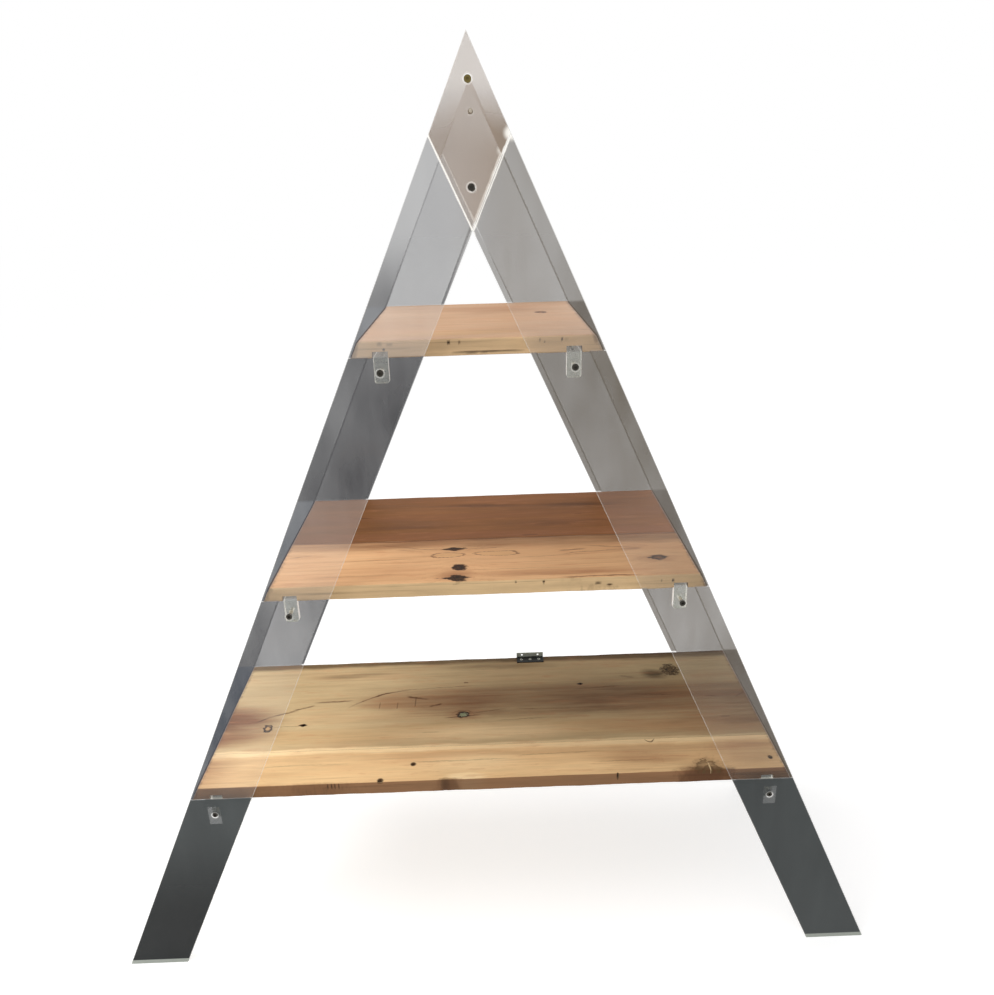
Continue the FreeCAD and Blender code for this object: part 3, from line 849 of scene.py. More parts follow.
BOARDS = {
    "top_shelf_front_plank": Board(
        spacing=17, pith_y=-60, pith_z=-70, tilt=0.03, seed=1.3,
        contrast=0.22, wander=24, left=1.02, right=0.97,
        knots=(
            Knot(192, -168, 10, 4, point=1.2, core=0.8, depth=4, lift=0.0, tone=CHESTNUT),
            Knot(206, -190, 8, 5, point=1.2, core=0.8, depth=9, lift=0.0, tone=CHESTNUT),
            Knot(-198, -196, 9, 8, core=0.7, depth=9, lift=0.0, tone=CHESTNUT),
        ),
        grains=(
            Grain(150, -128, 14, dark=0.5),
            Grain(172, -152, 16, wide=2.6, tilt=0.1, dark=0.6),
            Grain(-120, -170, 60, wide=1.6, tilt=0.02, dark=0.25),
            Grain(40, -120, 90, wide=1.6, tilt=0.03, dark=0.25),
        ),
        patches=(Patch(-30, -150, 120, 34, HONEY, 0.3),),
    ),
    "top_shelf_rear_plank": Board(
        spacing=17, pith_y=-60, pith_z=-70, tilt=0.03, seed=1.3,
        contrast=0.22, wander=24, left=1.02, right=0.97,
        knots=(Knot(113, 54, 11, 14, point=1.6, core=0.9, tone=UMBER, pale=RUSSET, heart=0.3),),
        grains=(
            Grain(80, 60, 30, wide=1.6, dark=0.35),
            Grain(146, 50, 26, wide=1.6, dark=0.35),
            Grain(-60, 20, 80, wide=1.6, tilt=0.02, dark=0.2),
        ),
        patches=(Patch(20, 110, 150, 70, RUSSET, 0.3, 0.8),),
    ),
    "middle_shelf_front_plank": Board(
        spacing=15, pith_y=-84, pith_z=-28, tilt=0.05, seed=4.1,
        contrast=0.42, wander=18, left=1.06, right=0.86,
        knots=(
            Knot(-54, -71, 29, 8.5, point=1.0),
            Knot(-44, -148, 14, 14, point=1.8),
            Knot(-46, -190, 17, 14, point=1.8, heart=0.25, pale=KNOT_OLIVE, depth=5),
            Knot(-50, -188, 32, 7, point=1.0, lift=0.0, depth=7),
            Knot(300, -135, 18, 12, point=1.3, heart=0.3, broken=0.2, pale=CHESTNUT),
        ),
        grains=(
            Grain(-329, -84, 22, wide=2.4, tilt=0.14, dark=0.6),
            Grain(-150, -56, 44, wide=1.8, tilt=-0.3, dark=0.5),
            Grain(-118, -69, 44, wide=2.0, dark=0.6),
            Grain(0, -70, 40, wide=1.8, tilt=0.03, dark=0.5),
            Grain(155, -91, 28, wide=3.4, tilt=0.12, dark=0.6),
            Grain(225, -82, 62, wide=2.0, tilt=-0.2, dark=0.6),
            Grain(190, -100, 70, wide=1.8, tilt=0.1, dark=0.5),
            Grain(258, -95, 22, wide=3.6, dark=0.6),
            Grain(120, -112, 70, wide=1.6, tilt=0.05, dark=0.4),
            Grain(190, -199, 74, wide=3.2, dark=0.75),
            Grain(-220, -170, 90, wide=1.8, tilt=0.03, dark=0.35),
            Grain(60, -160, 100, wide=1.8, tilt=-0.02, dark=0.35),
            Grain(-200, -110, 80, wide=1.8, tilt=0.04, dark=0.35),
        ),
        patches=(
            Patch(-60, -92, 28, 11, HONEY, 0.3, 0.3, 0.65),
            Patch(30, -89, 42, 12, HONEY, 0.25, 0.3, 0.65),
            Patch(120, -175, 220, 18, RUSSET, 0.4, 0.8),
            Patch(-44, -170, 40, 32, RUSSET, 0.5, 0.9),
            Patch(300, -135, 60, 22, RUSSET, 0.45, 0.9),
        ),
        bands=(
            Band(-26, 5, UMBER, 0.8, 0.8),
            Band(-30, 48, CHESTNUT, 0.6, 0.75),
        ),
    ),
    "middle_shelf_rear_plank": Board(
        spacing=30, pith_y=60, pith_z=-90, tilt=0.03, seed=7.7,
        contrast=0.3, wander=40, left=0.6, right=1.12,
        knots=(Knot(-240, 93, 26, 3.0, point=1.0, core=0.5, lift=0.0),),
        grains=(
            Grain(185, 80, 10, wide=2.4, dark=0.7),
            Grain(85, -17, 18, wide=3.0, dark=0.7),
            Grain(-60, 128, 60, wide=2.4, tilt=0.02, dark=0.4),
            Grain(120, 60, 90, wide=2.0, tilt=0.03, dark=0.35),
            Grain(-120, 30, 70, wide=2.0, tilt=-0.02, dark=0.35),
        ),
        patches=(
            Patch(-20, 142, 150, 16, UMBER, 0.6, 0.9),
            Patch(190, 136, 140, 18, UMBER, 0.6, 0.9),
            Patch(170, 44, 180, 22, UMBER, 0.45, 0.9),
            Patch(-130, 38, 160, 18, UMBER, 0.35, 0.9),
        ),
        bands=(
            Band(88, 22, RUSSET, 0.45, 0.25),
            Band(185, 22, RUSSET, 0.35, 0.2),
            Band(-5, 26, RUSSET, 0.55, 0.45),
        ),
    ),
    "bottom_shelf_front_plank": Board(
        spacing=18, pith_y=-170, pith_z=-60, tilt=0.02, seed=2.9,
        contrast=0.22, wander=24, left=1.12, right=0.84,
        knots=(
            Knot(390, -204, 62, 14, core=0.75, soft=0.8, depth=40, lift=0.0, tone=UMBER),
            Knot(394, -203, 28, 36, core=0.75, rings=2.6, depth=8, tone=KNOT_OLIVE),
            Knot(398, -192, 1.3, 16, core=0.55, lift=0.0, depth=8, tone=SAPWOOD),
            Knot(-80, -204, 26, 6, core=0.6, soft=0.8, depth=40, lift=0.0, tone=UMBER),
            Knot(-320, -204, 80, 6, core=0.45, soft=0.9, depth=30, lift=0.0, tone=CHESTNUT),
            Knot(533, -102, 12, 6, point=1.2, core=0.7, lift=0.0, tone=CHESTNUT),
        ),
        grains=(
            Grain(304, -117, 12, wide=2.6, bend=14, dark=1.0),
            Grain(304, -105, 14, wide=2.0, dark=0.7),
            Grain(-60, -150, 110, wide=1.8, dark=0.35),
            Grain(120, -140, 90, wide=1.8, tilt=0.02, dark=0.4),
            Grain(250, -168, 70, wide=1.8, tilt=0.03, dark=0.35),
            Grain(-360, -150, 110, wide=1.8, tilt=0.01, dark=0.3),
        ),
        patches=(
            Patch(394, -200, 66, 34, CHESTNUT, 0.6, 0.9),
            Patch(-50, -196, 50, 12, SAPWOOD, 0.9, 0.6),
            Patch(480, -150, 130, 64, RUSSET, 0.4, 0.9),
            Patch(290, -165, 150, 60, RUSSET, 0.45, 0.9),
            Patch(-600, -160, 150, 90, RUSSET, 0.95, 0.9),
            Patch(-40, -160, 150, 42, SAPWOOD, 0.5, 0.9),
        ),
        bands=(
            Band(-110, 14, SAPWOOD, 0.9, 0.5),
            Band(-134, 12, RUSSET, 0.15, 0.2),
        ),
    ),
    "bottom_shelf_rear_plank": Board(
        spacing=22, pith_y=42, pith_z=-15, tilt=-0.05, seed=5.5,
        contrast=0.22, wander=30, left=1.16, right=0.68,
        knots=(
            Knot(-57, -8, 15, 12, point=1.7, heart=0.5, pale=SAGE),
            Knot(-448, -32, 9, 12, heart=0.5, soft=0.15, pale=HONEY),
            Knot(-378, -25, 10, 5, point=1.2),
            Knot(396, 130, 21, 24, heart=0.68, broken=0.5, pale=KNOT_OLIVE),
            Knot(397, 129, 11, 12, heart=0.45, broken=0.4, lift=0.0, pale=KNOT_OLIVE),
            Knot(194, 87, 8, 5, point=1.2),
            Knot(-157, 40, 1.6, 17, core=0.45, lift=0.0),
            Knot(-231, 32, 1.4, 14, core=0.4, lift=0.0),
            Knot(-194, 30, 1.4, 13, core=0.4, lift=0.0),
        ),
        grains=(
            Grain(-440, 12, 46, wide=3.8, tilt=0.5, bend=-8, dark=0.95),
            Grain(-388, 34, 24, wide=3.8, tilt=0.3, dark=0.9),
            Grain(-330, 52, 46, wide=4.0, tilt=0.05, dark=0.9),
            Grain(-233, 70, 70, wide=3.8, tilt=0.45, bend=-16, dark=0.95),
            Grain(-110, 92, 100, wide=2.0, tilt=0.04, dark=0.5),
            Grain(-153, 56, 28, wide=4.8, tilt=-0.24, dark=0.95),
            Grain(-114, 28, 16, wide=3.8, tilt=0.28, dark=0.85),
            Grain(-57, -14, 42, wide=2.6, tilt=0.1, dark=0.9),
            Grain(-57, 6, 26, wide=1.6, bend=-12, dark=0.6),
            Grain(-5, 2, 44, wide=1.8, tilt=0.15, dark=0.5),
            Grain(-420, -28, 60, wide=2.0, dark=0.5),
            Grain(461, 27, 14, wide=3.0, tilt=-0.3, dark=0.7),
            Grain(469, -43, 12, wide=2.8, dark=0.7),
            Grain(522, 30, 14, wide=2.4, tilt=0.6, dark=0.7),
            Grain(297, 109, 18, wide=3.8, tilt=-0.2, dark=0.55),
            Grain(330, 40, 60, wide=2.0, tilt=-0.05, dark=0.5),
            Grain(230, 72, 60, wide=2.6, tilt=0.05, dark=0.5),
            Grain(-52, 108, 6, wide=3.2, dark=0.7),
            Grain(60, -30, 60, wide=2.0, tilt=0.04, dark=0.45),
            Grain(110, 4, 70, wide=2.2, tilt=-0.03, dark=0.45),
            Grain(-120, -62, 20, wide=2.4, dark=0.5),
        ),
        patches=(
            Patch(-120, 50, 190, 46, RUSSET, 0.4, 0.5),
            Patch(110, 35, 390, 74, CHESTNUT, 0.5, 0.6),
            Patch(290, 40, 280, 96, UMBER, 0.42, 1.0),
            Patch(-535, -14, 160, 100, CHESTNUT, 0.95, 0.7),
            Patch(-560, -24, 150, 120, RUSSET, 0.6, 1.0),
            Patch(-560, -70, 60, 34, RUSSET, 0.8, 0.9),
            Patch(-575, -12, 110, 84, UMBER, 0.85, 0.9),
            Patch(450, 0, 260, 130, RUSSET, 0.5, 0.9),
            Patch(540, 10, 140, 170, UMBER, 0.4, 1.0),
            Patch(356, 116, 34, 30, KNOT_OLIVE, 0.75, 0.8),
            Patch(-57, -8, 50, 30, RUSSET, 0.5, 1.0),
            Patch(-300, 150, 120, 16, REAR_EDGE_BROWN, 0.4, 0.8),
            Patch(20, 170, 160, 18, REAR_EDGE_BROWN, 0.45, 0.8),
            Patch(-10, -68, 260, 38, SAPWOOD, 0.65, 0.9),
        ),
        bands=(
            # darker strip along the rear edge
            Band(200, 24, REAR_EDGE_BROWN, 0.9, 1.0),
            Band(206, 10, UMBER, 0.45, 0.75),
            Band(-62, 34, HONEY, 0.45, 0.2),
            Band(-107, 8, SAPWOOD, 0.8, 0.45),
        ),
    ),
}

# Noises of the wood: repeats in a metre along each axis, detail and roughness
WOOD_NOISES = {
    "drift": ((1.6, 7.0, 7.0), 2.0, 0.5),
    "ripple": ((9.0, 60.0, 60.0), 3.0, 0.5),
    "fibre": ((7.0, 420.0, 420.0), 4.0, 0.65),
    "streak": ((2.2, 60.0, 60.0), 3.0, 0.6),
    "cloud": ((4.0, 22.0, 22.0), 4.0, 0.6),
    "blush": ((3.0, 17.0, 17.0), 3.0, 0.55),
    "swirl": ((14.0, 42.0, 42.0), 3.0, 0.5),
    "fleck": ((15.0, 95.0, 95.0), 4.0, 0.62),
    "vein": ((2.6, 170.0, 170.0), 3.0, 0.6),
    "jag": ((110, 160, 60), 3.0, 0.5),
    "crumb": ((260, 420, 60), 2.0, 0.5),
}

# How far noise shifts the figure, in millimetres
RING_SHIFT = {"ripple": 5}
STAIN_SHIFT_ALONG = {"drift": 60, "swirl": 30}
STAIN_SHIFT_ACROSS = {"drift": 22, "swirl": 12, "ripple": 5}
STAIN_FRAY = {"cloud": 24}
LINE_SHIFT = {"swirl": 9, "ripple": 4, "jag": 4}
END_SHIFT = {"jag": 14, "swirl": 10}

# How much noise adds to a strength or a brightness
SUMMER_SHARE = {"cloud": 0.9, "streak": 0.4}
RING_STRENGTH = {"streak": 1.6}
BAND_STRENGTH = {"cloud": 1.6}
STAIN_STRENGTH = {"streak": 1.5, "cloud": 1.5}
FACE_LEVEL = {"fibre": 0.3, "blush": 0.3, "fleck": 0.3}
EDGE_LEVEL = {"streak": 0.8, "fleck": 0.4}

# Smooth steps: where one starts and ends, and the strength there if it isn't 0 and 1
BLUSH_STEP = (0.0, 0.3, 0.0, 0.35)
FLECK_STEP = (0.03, 0.26, 0.0, 0.4)
VEIN_STEP = (0.08, 0.22, 0.0, 0.28)
EDGE_VEIN_STEP = (0.04, 0.18, 0.0, 0.35)
KNOT_FLECK_STEP = (-0.04, 0.14, 0.0, 0.8)
KNOT_BREAK_STEP = (0.0, 0.06)
KNOT_RING_STEP = (0.2, 0.9, 0.45, 1.0)
LINE_END_STEP = (1.0, 0.5)
LINE_BREAK_STEP = (-0.12, 0.08, 0.5, 1.0)
RIM_BREAK_STEP = (0.08, 0.0)
END_STAIN_STEP = (9, 1, 0.0, 0.6)
LONG_EDGE_TURN = (0.5, 0.9)
END_GRAIN_TURN = (0.5, 0.8)

RING_EDGE = (1.0, 0.93)         # a ring's last part, over which its dark line ends
RING_SHARPNESS = 4              # power that draws the dark part of a ring together
RING_DARKNESS = 0.75
MEAN_SUMMER = 0.3               # share of summer wood between the dark lines
PITH_DRIFT = 10                 # how far the pith wanders up and down, in millimetres
KNOT_SWELL = 6                  # square of the radius, in knot radii, at which a ring's lift is 1/e
KNOT_RIM = 1.12                 # radius at which a knot has faded, where 1 is its outline
KNOT_JAG = 1.2                  # how ragged its outline is
KNOT_FLOOR = 2                  # half the depth over which a knot ends, in millimetres
HEART_EDGE = 0.12               # half width of the pale heart's edge, in knot radii
HEART_STRENGTH = 0.9
RIM_LINE = 1.7                  # half width of the line round a stain, in millimetres
RIM_LEAST = 0.2                 # its strength where it is broken
LINE_CORE = 0.2                 # share of a thin line's width that is full
BAND_CORE = 0.35                # the same of a stripe
EDGE_COVER = 0.9
END_GRAIN_SHADE = 0.45
BUMP_DEPTH = 0.35 * MM
BUMP_SHARES = (0.4, 0.6)        # of the rings and of the fibres
WOOD_ROUGHNESS = 0.62
RING_POLISH = 0.1
FIBRE_ROUGHNESS = 0.2
WOOD_SPECULAR = 0.15


def weigh(noise, weights):
    """Sum of the noises that are named, each times its weight."""
    return sum(getattr(noise, name) * weight for name, weight in weights.items())


def knot_radius(knot, x, y, jag):
    """Distance from a knot's middle, 1 at its rim: a rounded or pointed oval with a ragged outline."""
    reach_x = abs(x - knot.x) / knot.long
    reach_y = abs(y - knot.y) / knot.wide
    oval = (reach_x ** knot.point + reach_y ** knot.point) ** (1 / knot.point)
    return oval * (1 + jag * KNOT_JAG)


def paint_knot(shader, colour, knot, radius, crumb, under):
    """Lays a knot over a board's colour: dark with brown flecks, a pale heart and rings, to its depth."""
    shade = shader.blend(shader.ease(crumb, *KNOT_FLECK_STEP), knot.tone, KNOT_BROWN)
    if knot.heart:
        heart_rim = (knot.heart + HEART_EDGE, knot.heart - HEART_EDGE)
        pale = shader.ease(radius + crumb, *heart_rim, 0.0, HEART_STRENGTH)
        shade = shader.blend(pale, shade, knot.pale)
    cover = shader.ease(radius, KNOT_RIM, KNOT_RIM - knot.soft, 0.0, knot.core)
    cover = cover * shader.ease(under, knot.depth + KNOT_FLOOR, knot.depth - KNOT_FLOOR)
    if knot.broken:
        cover = cover * shader.ease(crumb, *KNOT_BREAK_STEP, 1.0, 1 - knot.broken)
    if knot.rings:
        phase = shader.maths("FRACT", radius * knot.rings)
        cover = cover * shader.ease(phase, *KNOT_RING_STEP)
    return shader.blend(cover, colour, shade)


def paint_grain(shader, colour, grain, x, y, fleck):
    """Draws a thin dark line: the gap from its curve, faded towards its ends and broken by flecks."""
    along = (x - grain.x) / grain.long
    line = along * (grain.tilt * grain.long) + along * along * grain.bend + grain.y
    cover = shader.ease(abs(y - line), grain.wide, LINE_CORE * grain.wide)
    cover = cover * shader.ease(abs(along), *LINE_END_STEP, 0.0, grain.dark)
    cover = cover * shader.ease(fleck, *LINE_BREAK_STEP)
    return shader.blend(cover, colour, KNOT_BROWN)


def paint_patch(shader, colour, patch, x, y, strength, crumb):
    """Lays a soft streaky oval stain over a board's colour, and a thin broken line round it."""
    reach_x = (x - patch.x) / patch.long
    reach_y = (y - patch.y) / patch.wide
    radius = (reach_x * reach_x + reach_y * reach_y) ** 0.5
    cover = shader.ease(radius, 1.0, 1 - patch.soft, 0.0, patch.strength) * strength
    colour = shader.blend(cover, colour, patch.tone)
    if patch.rim:
        thick = RIM_LINE / patch.wide
        line = shader.ease(abs(radius - 1), thick, LINE_CORE * thick)
        line = line * shader.ease(crumb, *RIM_BREAK_STEP, RIM_LEAST, patch.rim)
        colour = shader.blend(line, colour, KNOT_BROWN)
    return colour


def summer_wood(shader, board, noise, radii, x, y, under):
    """Share of summer wood: a thin dark line that ends each ring.

    A ring's number is the distance from the pith over the rings' spacing. Noise bends the rings, and
    each knot lifts them by a bell.
    """
    across = y - board.pith_y + noise.drift * (2 * board.wander) + weigh(noise, RING_SHIFT)
    depth = x * board.tilt - under - board.pith_z + noise.drift * PITH_DRIFT
    rings = (across * across + depth * depth) ** 0.5 / board.spacing
    for knot, radius in zip(board.knots, radii):
        if knot.lift:
            rings = rings + math.e ** (radius * radius * (-1 / KNOT_SWELL)) * knot.lift
    phase = shader.maths("FRACT", rings)
    line = phase ** RING_SHARPNESS * shader.ease(phase, *RING_EDGE)
    return line * (RING_DARKNESS + weigh(noise, RING_STRENGTH))


def face_colour(shader, board, noise, tones, late, x, y, share_x):
    """Colour of a board's face: rings, blush, stripes, stains, flecks and veins, times its level and the
    painted light along the board.
    """
    summer = shader.clamp(late * board.contrast + weigh(noise, SUMMER_SHARE) + MEAN_SUMMER)
    colour = shader.blend(summer, tones["spring"], tones["summer"])
    colour = shader.blend(shader.ease(noise.blush, *BLUSH_STEP), colour, tones["blush"])
    stain_x = x + weigh(noise, STAIN_SHIFT_ALONG)
    stain_y = y + weigh(noise, STAIN_SHIFT_ACROSS)
    for band in board.bands:
        strength = shader.ease(abs(stain_y - band.y), band.wide, BAND_CORE * band.wide)
        strength = strength * between(share_x, band.left, band.right) * (1 + weigh(noise, BAND_STRENGTH))
        colour = shader.blend(strength, colour, band.tone)
    frayed_y = stain_y + weigh(noise, STAIN_FRAY)
    strength = 1 + weigh(noise, STAIN_STRENGTH)
    for patch in board.patches:
        colour = paint_patch(shader, colour, patch, stain_x, frayed_y, strength, noise.crumb)
    colour = shader.blend(shader.ease(noise.fleck, *FLECK_STEP), colour, tones["blush"])
    colour = shader.blend(shader.ease(noise.vein, *VEIN_STEP), colour, RUSSET)
    level = 1 + weigh(noise, FACE_LEVEL)
    # Painted light and shade: the board grows brighter or darker from one end to the other
    return shader.brighten(colour, level * between(share_x, board.left, board.right))


def edge_colour(shader, colour, noise, edge_tone, from_end):
    """A board's colour with its own tone on the long edges, darker end grain and worn, stained ends."""
    turn = shader.split(shader.facing)
    edge = shader.ease(abs(turn[1]), *LONG_EDGE_TURN)
    veined = shader.ease(noise.vein, *EDGE_VEIN_STEP)
    level = (1 + weigh(noise, EDGE_LEVEL)) * (1 - veined)
    colour = shader.blend(edge * EDGE_COVER, colour, shader.brighten(edge_tone, level))
    end = shader.ease(abs(turn[0]), *END_GRAIN_TURN)
    colour = shader.brighten(colour, 1 - end * END_GRAIN_SHADE)
    stain = shader.ease(from_end + weigh(noise, END_SHIFT), *END_STAIN_STEP)
    return shader.blend(stain, colour, UMBER)


def plank_wood(node, kind, settings):
    """Sawn softwood: rings about a pith line that runs along the board, under stains, lines and knots.

    Lengths are in millimetres. The mesh's grime darkens its holes, with grime and painted
    shade, and its housings, with painted shade.
    """
    board = BOARDS[node]
    tones = {part: getattr(settings, f"{kind}_{part}") for part in WOOD_PARTS}
    tones["blush"] = settings.blush
    low, high = [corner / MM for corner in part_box(node)]
    shader = Shader(node)
    x, y, z = [part / MM for part in shader.split(shader.point)]
    under = high.z - z
    share_x = shader.clamp((x - low.x) / (high.x - low.x))
    away = (board.seed, 2 * board.seed, 0.0)
    noise = SimpleNamespace(**{name: shader.noise(*facts, away) for name, facts in WOOD_NOISES.items()})

    radii = [knot_radius(knot, x, y, noise.jag) for knot in board.knots]
    late = summer_wood(shader, board, noise, radii, x, y, under)
    colour = face_colour(shader, board, noise, tones, late, x, y, share_x)
    from_end = high.x - (z - low.z) * LEAN - abs(x)
    colour = edge_colour(shader, colour, noise, tones["edge"], from_end)
    line_y = y + weigh(noise, LINE_SHIFT)
    for grain in board.grains:
        colour = paint_grain(shader, colour, grain, x, line_y, noise.fleck)
    for knot, radius in zip(board.knots, radii):
        colour = paint_knot(shader, colour, knot, radius, noise.crumb, under)
    # Darkening from the mesh: grime and painted shade at the marks, painted shade in the housings
    grime = shader.node("ShaderNodeAttribute", {"attribute_name": "grime"}).outputs["Fac"]
    colour = shader.blend(grime, colour, GRIME_AND_SHADE)
    ring_share, fibre_share = BUMP_SHARES
    shader.relief(late * ring_share + noise.fibre * fibre_share, BUMP_DEPTH)
    roughness = WOOD_ROUGHNESS - late * RING_POLISH + noise.fibre * FIBRE_ROUGHNESS
    return shader.finish(Base_Color=colour, Roughness=roughness, Specular_IOR_Level=WOOD_SPECULAR)


# Plank meshes

HOUSING_CLEARANCE = 0.4 * MM    # round a bracket's flange in its housing
CONTACT_GAP = 0.2 * MM          # between the flange and the housing's roof
# painted shade in a bracket housing
HOUSING_SHADE = 0.7
PLANK_STEP = 8 * MM             # between points along and across a plank
EDGE_STEP = 2.5 * MM            # between points down its edges
LEAST_STEP = 0.25 * MM          # closer points are left out
WALL_WIDTH = 0.01 * MM          # half the width over which a housing's wall rises
FLAT_INSET = 5.5 * MM           # room kept for the rounded corners
WORN_ARRIS = 1.9 * MM
JOINT_ARRIS = 0.7 * MM
ARRIS_POINTS = 5
ARRIS_WANDER = 0.45             # how far the worn corners' radius wanders
WEAR_LENGTH = 0.22              # longest wave of that wear
WEAR_WAVES = 5
WAVE_HEIGHT = 0.55              # of the longest wave
WAVE_SHRINK = 1.9               # each wave is shorter than the last by this
WAVE_FADE = 1.35                # and lower by this
WAVE_SPREAD = (0.8, 1.2)        # its length is drawn from these times the even one
BOWL_POWER = 4                  # how flat the floor of a mark is
MARK_DARK_REACH = 1.35              # how far a mark's darkening, grime and painted shade, reaches, in radii
END_ARRIS = 1.0 * MM
LEAN_LENGTH = 36 * MM           # stretch over which the sections come to lean as the ends do
CAP_SHARES = (1.0, 0.7, 0.35, 0.0)
MERGE_REACH = 0.001 * MM
SHARP_ANGLE = math.radians(38)


@dataclass
class Mark:
    """A nail hole, crack or chip in a plank, given in millimetres.

    x and y are its middle, radius its half width, sink its depth, below how far it lies under the top
    face, long and tall how much further it reaches along X and Z, and grime its darkness:
    grime round it and painted shade in its hollow.
    """
    x: float
    y: float
    radius: float
    sink: float
    below: float = 0.0
    long: float = 0.0
    tall: float = 0.0
    grime: float = 1.0

    def __post_init__(self):
        for name in ("x", "y", "radius", "sink", "below", "long", "tall"):
            setattr(self, name, getattr(self, name) * MM)


def edge_mark(x, below, radius, sink, **more):
    """A mark in a shelf's front edge, so far below the top face."""
    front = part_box(plank_name("top", "front"))[0].y
    return Mark(x, front / MM, radius, sink, below, **more)


MARKS = {
    "bottom_shelf_rear_plank": [
        Mark(-378, -25, 3.5, 4.0),
        Mark(-57, -8, 5.0, 1.5, grime=0.2),
        Mark(194, 87, 2.5, 1.5),
    ],
    "bottom_shelf_front_plank": [
        Mark(-147, -157, 4.5, 6.0),
        Mark(-204, -199, 5.0, 6.0),
        Mark(518, -174, 4.5, 3.0),
        *[edge_mark(x, 6, 1.1, 0.6, tall=4, grime=0.75) for x in (-299, -292, -286, -279)],
        edge_mark(228, 5, 1.8, 1.5, tall=6, grime=0.9),
        edge_mark(-86, 12, 7.0, 0.5, tall=9, grime=0.35),
    ],
    "middle_shelf_front_plank": [
        edge_mark(50, 4, 1.8, 1.5),
        edge_mark(96, 5, 1.8, 1.5),
        edge_mark(186, 12, 1.2, 1.2, long=3, grime=0.8),
        edge_mark(198, 9, 1.2, 1.2, long=2, grime=0.8),
        edge_mark(205, 15, 1.2, 1.2, long=3, grime=0.7),
        edge_mark(291, 10, 1.7, 1.5),
        edge_mark(310, 12, 1.7, 1.5),
    ],
    "top_shelf_front_plank": [
        edge_mark(-42, 5, 2.0, 1.8),
        edge_mark(-26, 5, 1.5, 1.5, grime=0.6),
        edge_mark(93, 4, 1.6, 1.5),
        edge_mark(100, 8, 1.6, 1.5),
        edge_mark(132, 4, 1.2, 0.8, long=6, grime=0.7),
        edge_mark(126, 5, 1.3, 1.2, tall=1),
        edge_mark(-144, 4, 1.6, 1.2, long=3, grime=0.7),
        edge_mark(-129, 7, 1.6, 1.2, long=4, grime=0.7),
        edge_mark(-138, 13, 1.8, 1.2),
        edge_mark(-32, 21.5, 1.0, 1.0, long=14, grime=0.7),
        edge_mark(-6, 21, 1.6, 1.6, long=26, grime=0.9),
        edge_mark(18, 20, 1.3, 1.4, long=20, grime=0.85),
        edge_mark(44, 20.5, 1.0, 1.0, long=22, grime=0.75),
    ],
}
HALF_NEAR_MARK = (0.25, 0.5, 0.7, 0.85, 1.0, 1.2, 1.5)
NEAR_MARK = np.array([*[-share for share in reversed(HALF_NEAR_MARK)], 0, *HALF_NEAR_MARK])


def stations(start, end, step, near=(), walls=()):
    """Places from start to end, one step apart, closer round each mark and doubled at each wall."""
    even = np.linspace(start, end, max(2, round((end - start) / step) + 1))
    close = [place + reach * NEAR_MARK for place, reach in near]
    places = np.unique(np.concatenate([even, *close]))
    places = places[(places > start) & (places < end)]
    places = places[np.concatenate([[True], np.diff(places) > LEAST_STEP])]
    for wall in walls:
        places = places[abs(places - wall) > LEAST_STEP]
    pairs = [[wall - WALL_WIDTH, wall + WALL_WIDTH] for wall in walls]
    return np.unique(np.concatenate([[start, end], places, *pairs]))


def unevenness(places, seed, longest):
    """A smooth line of about -1 to 1: sine waves, each shorter and lower than the last."""
    draw = np.random.default_rng(seed)
    line = np.zeros_like(places)
    for wave in range(WEAR_WAVES):
        length = longest / (WAVE_SHRINK ** wave) * draw.uniform(*WAVE_SPREAD)
        height = WAVE_HEIGHT / (WAVE_FADE ** wave)
        line += height * np.sin(math.tau * places / length + draw.uniform(0, math.tau))
    return line


def section_rows(low, high, along_y, along_z):
    """Points round a plank's section, from the front foot up, over the top, down the rear and back.

    A flat point has a place on its side. A corner point lies on a quarter circle: the corner, plus its
    share of the radius. Each also has the direction in which wear sinks it.
    """
    corners = [(low.y, low.z), (low.y, high.z), (high.y, high.z), (high.y, low.z)]
    outward = [np.array(way, float) for way in ((-1, 0), (0, 1), (1, 0), (0, -1))]
    rows = {"base": [], "share": [], "inward": [], "corner": []}
    quarter = np.linspace(0, math.pi / 2, ARRIS_POINTS)
    for side in range(4):
        level = side % 2
        flat = along_y if level else along_z
        flat = flat if side < 2 else flat[::-1]
        base = np.tile(corners[side], (len(flat), 1))
        base[:, 0 if level else 1] = flat
        rows["base"].append(base)
        rows["share"].append(np.zeros_like(base))
        rows["inward"].append(np.tile(-outward[side], (len(flat), 1)))
        rows["corner"].append(np.full(len(flat), (side + 1) % 4))
        after = outward[(side + 1) % 4]
        turn = np.cos(quarter)[:, None] * outward[side] + np.sin(quarter)[:, None] * after
        rows["base"].append(np.tile(corners[(side + 1) % 4], (ARRIS_POINTS, 1)))
        rows["share"].append(turn - outward[side] - after)
        rows["inward"].append(-turn)
        rows["corner"].append(np.full(ARRIS_POINTS, (side + 1) % 4))
    return {key: np.concatenate(parts) for key, parts in rows.items()}


def corner_radii(x_places, place, seed):
    """Radius of each of the section's four corners along X: uneven where worn, small at the glue joint."""
    worn = {1, 0} if place == "front" else {2, 3}
    radii = np.full((4, len(x_places)), JOINT_ARRIS)
    for corner in worn:
        wear = unevenness(x_places, seed + corner, WEAR_LENGTH)
        radii[corner] = np.clip(WORN_ARRIS * (1 + ARRIS_WANDER * wear), JOINT_ARRIS, FLAT_INSET)
    return radii


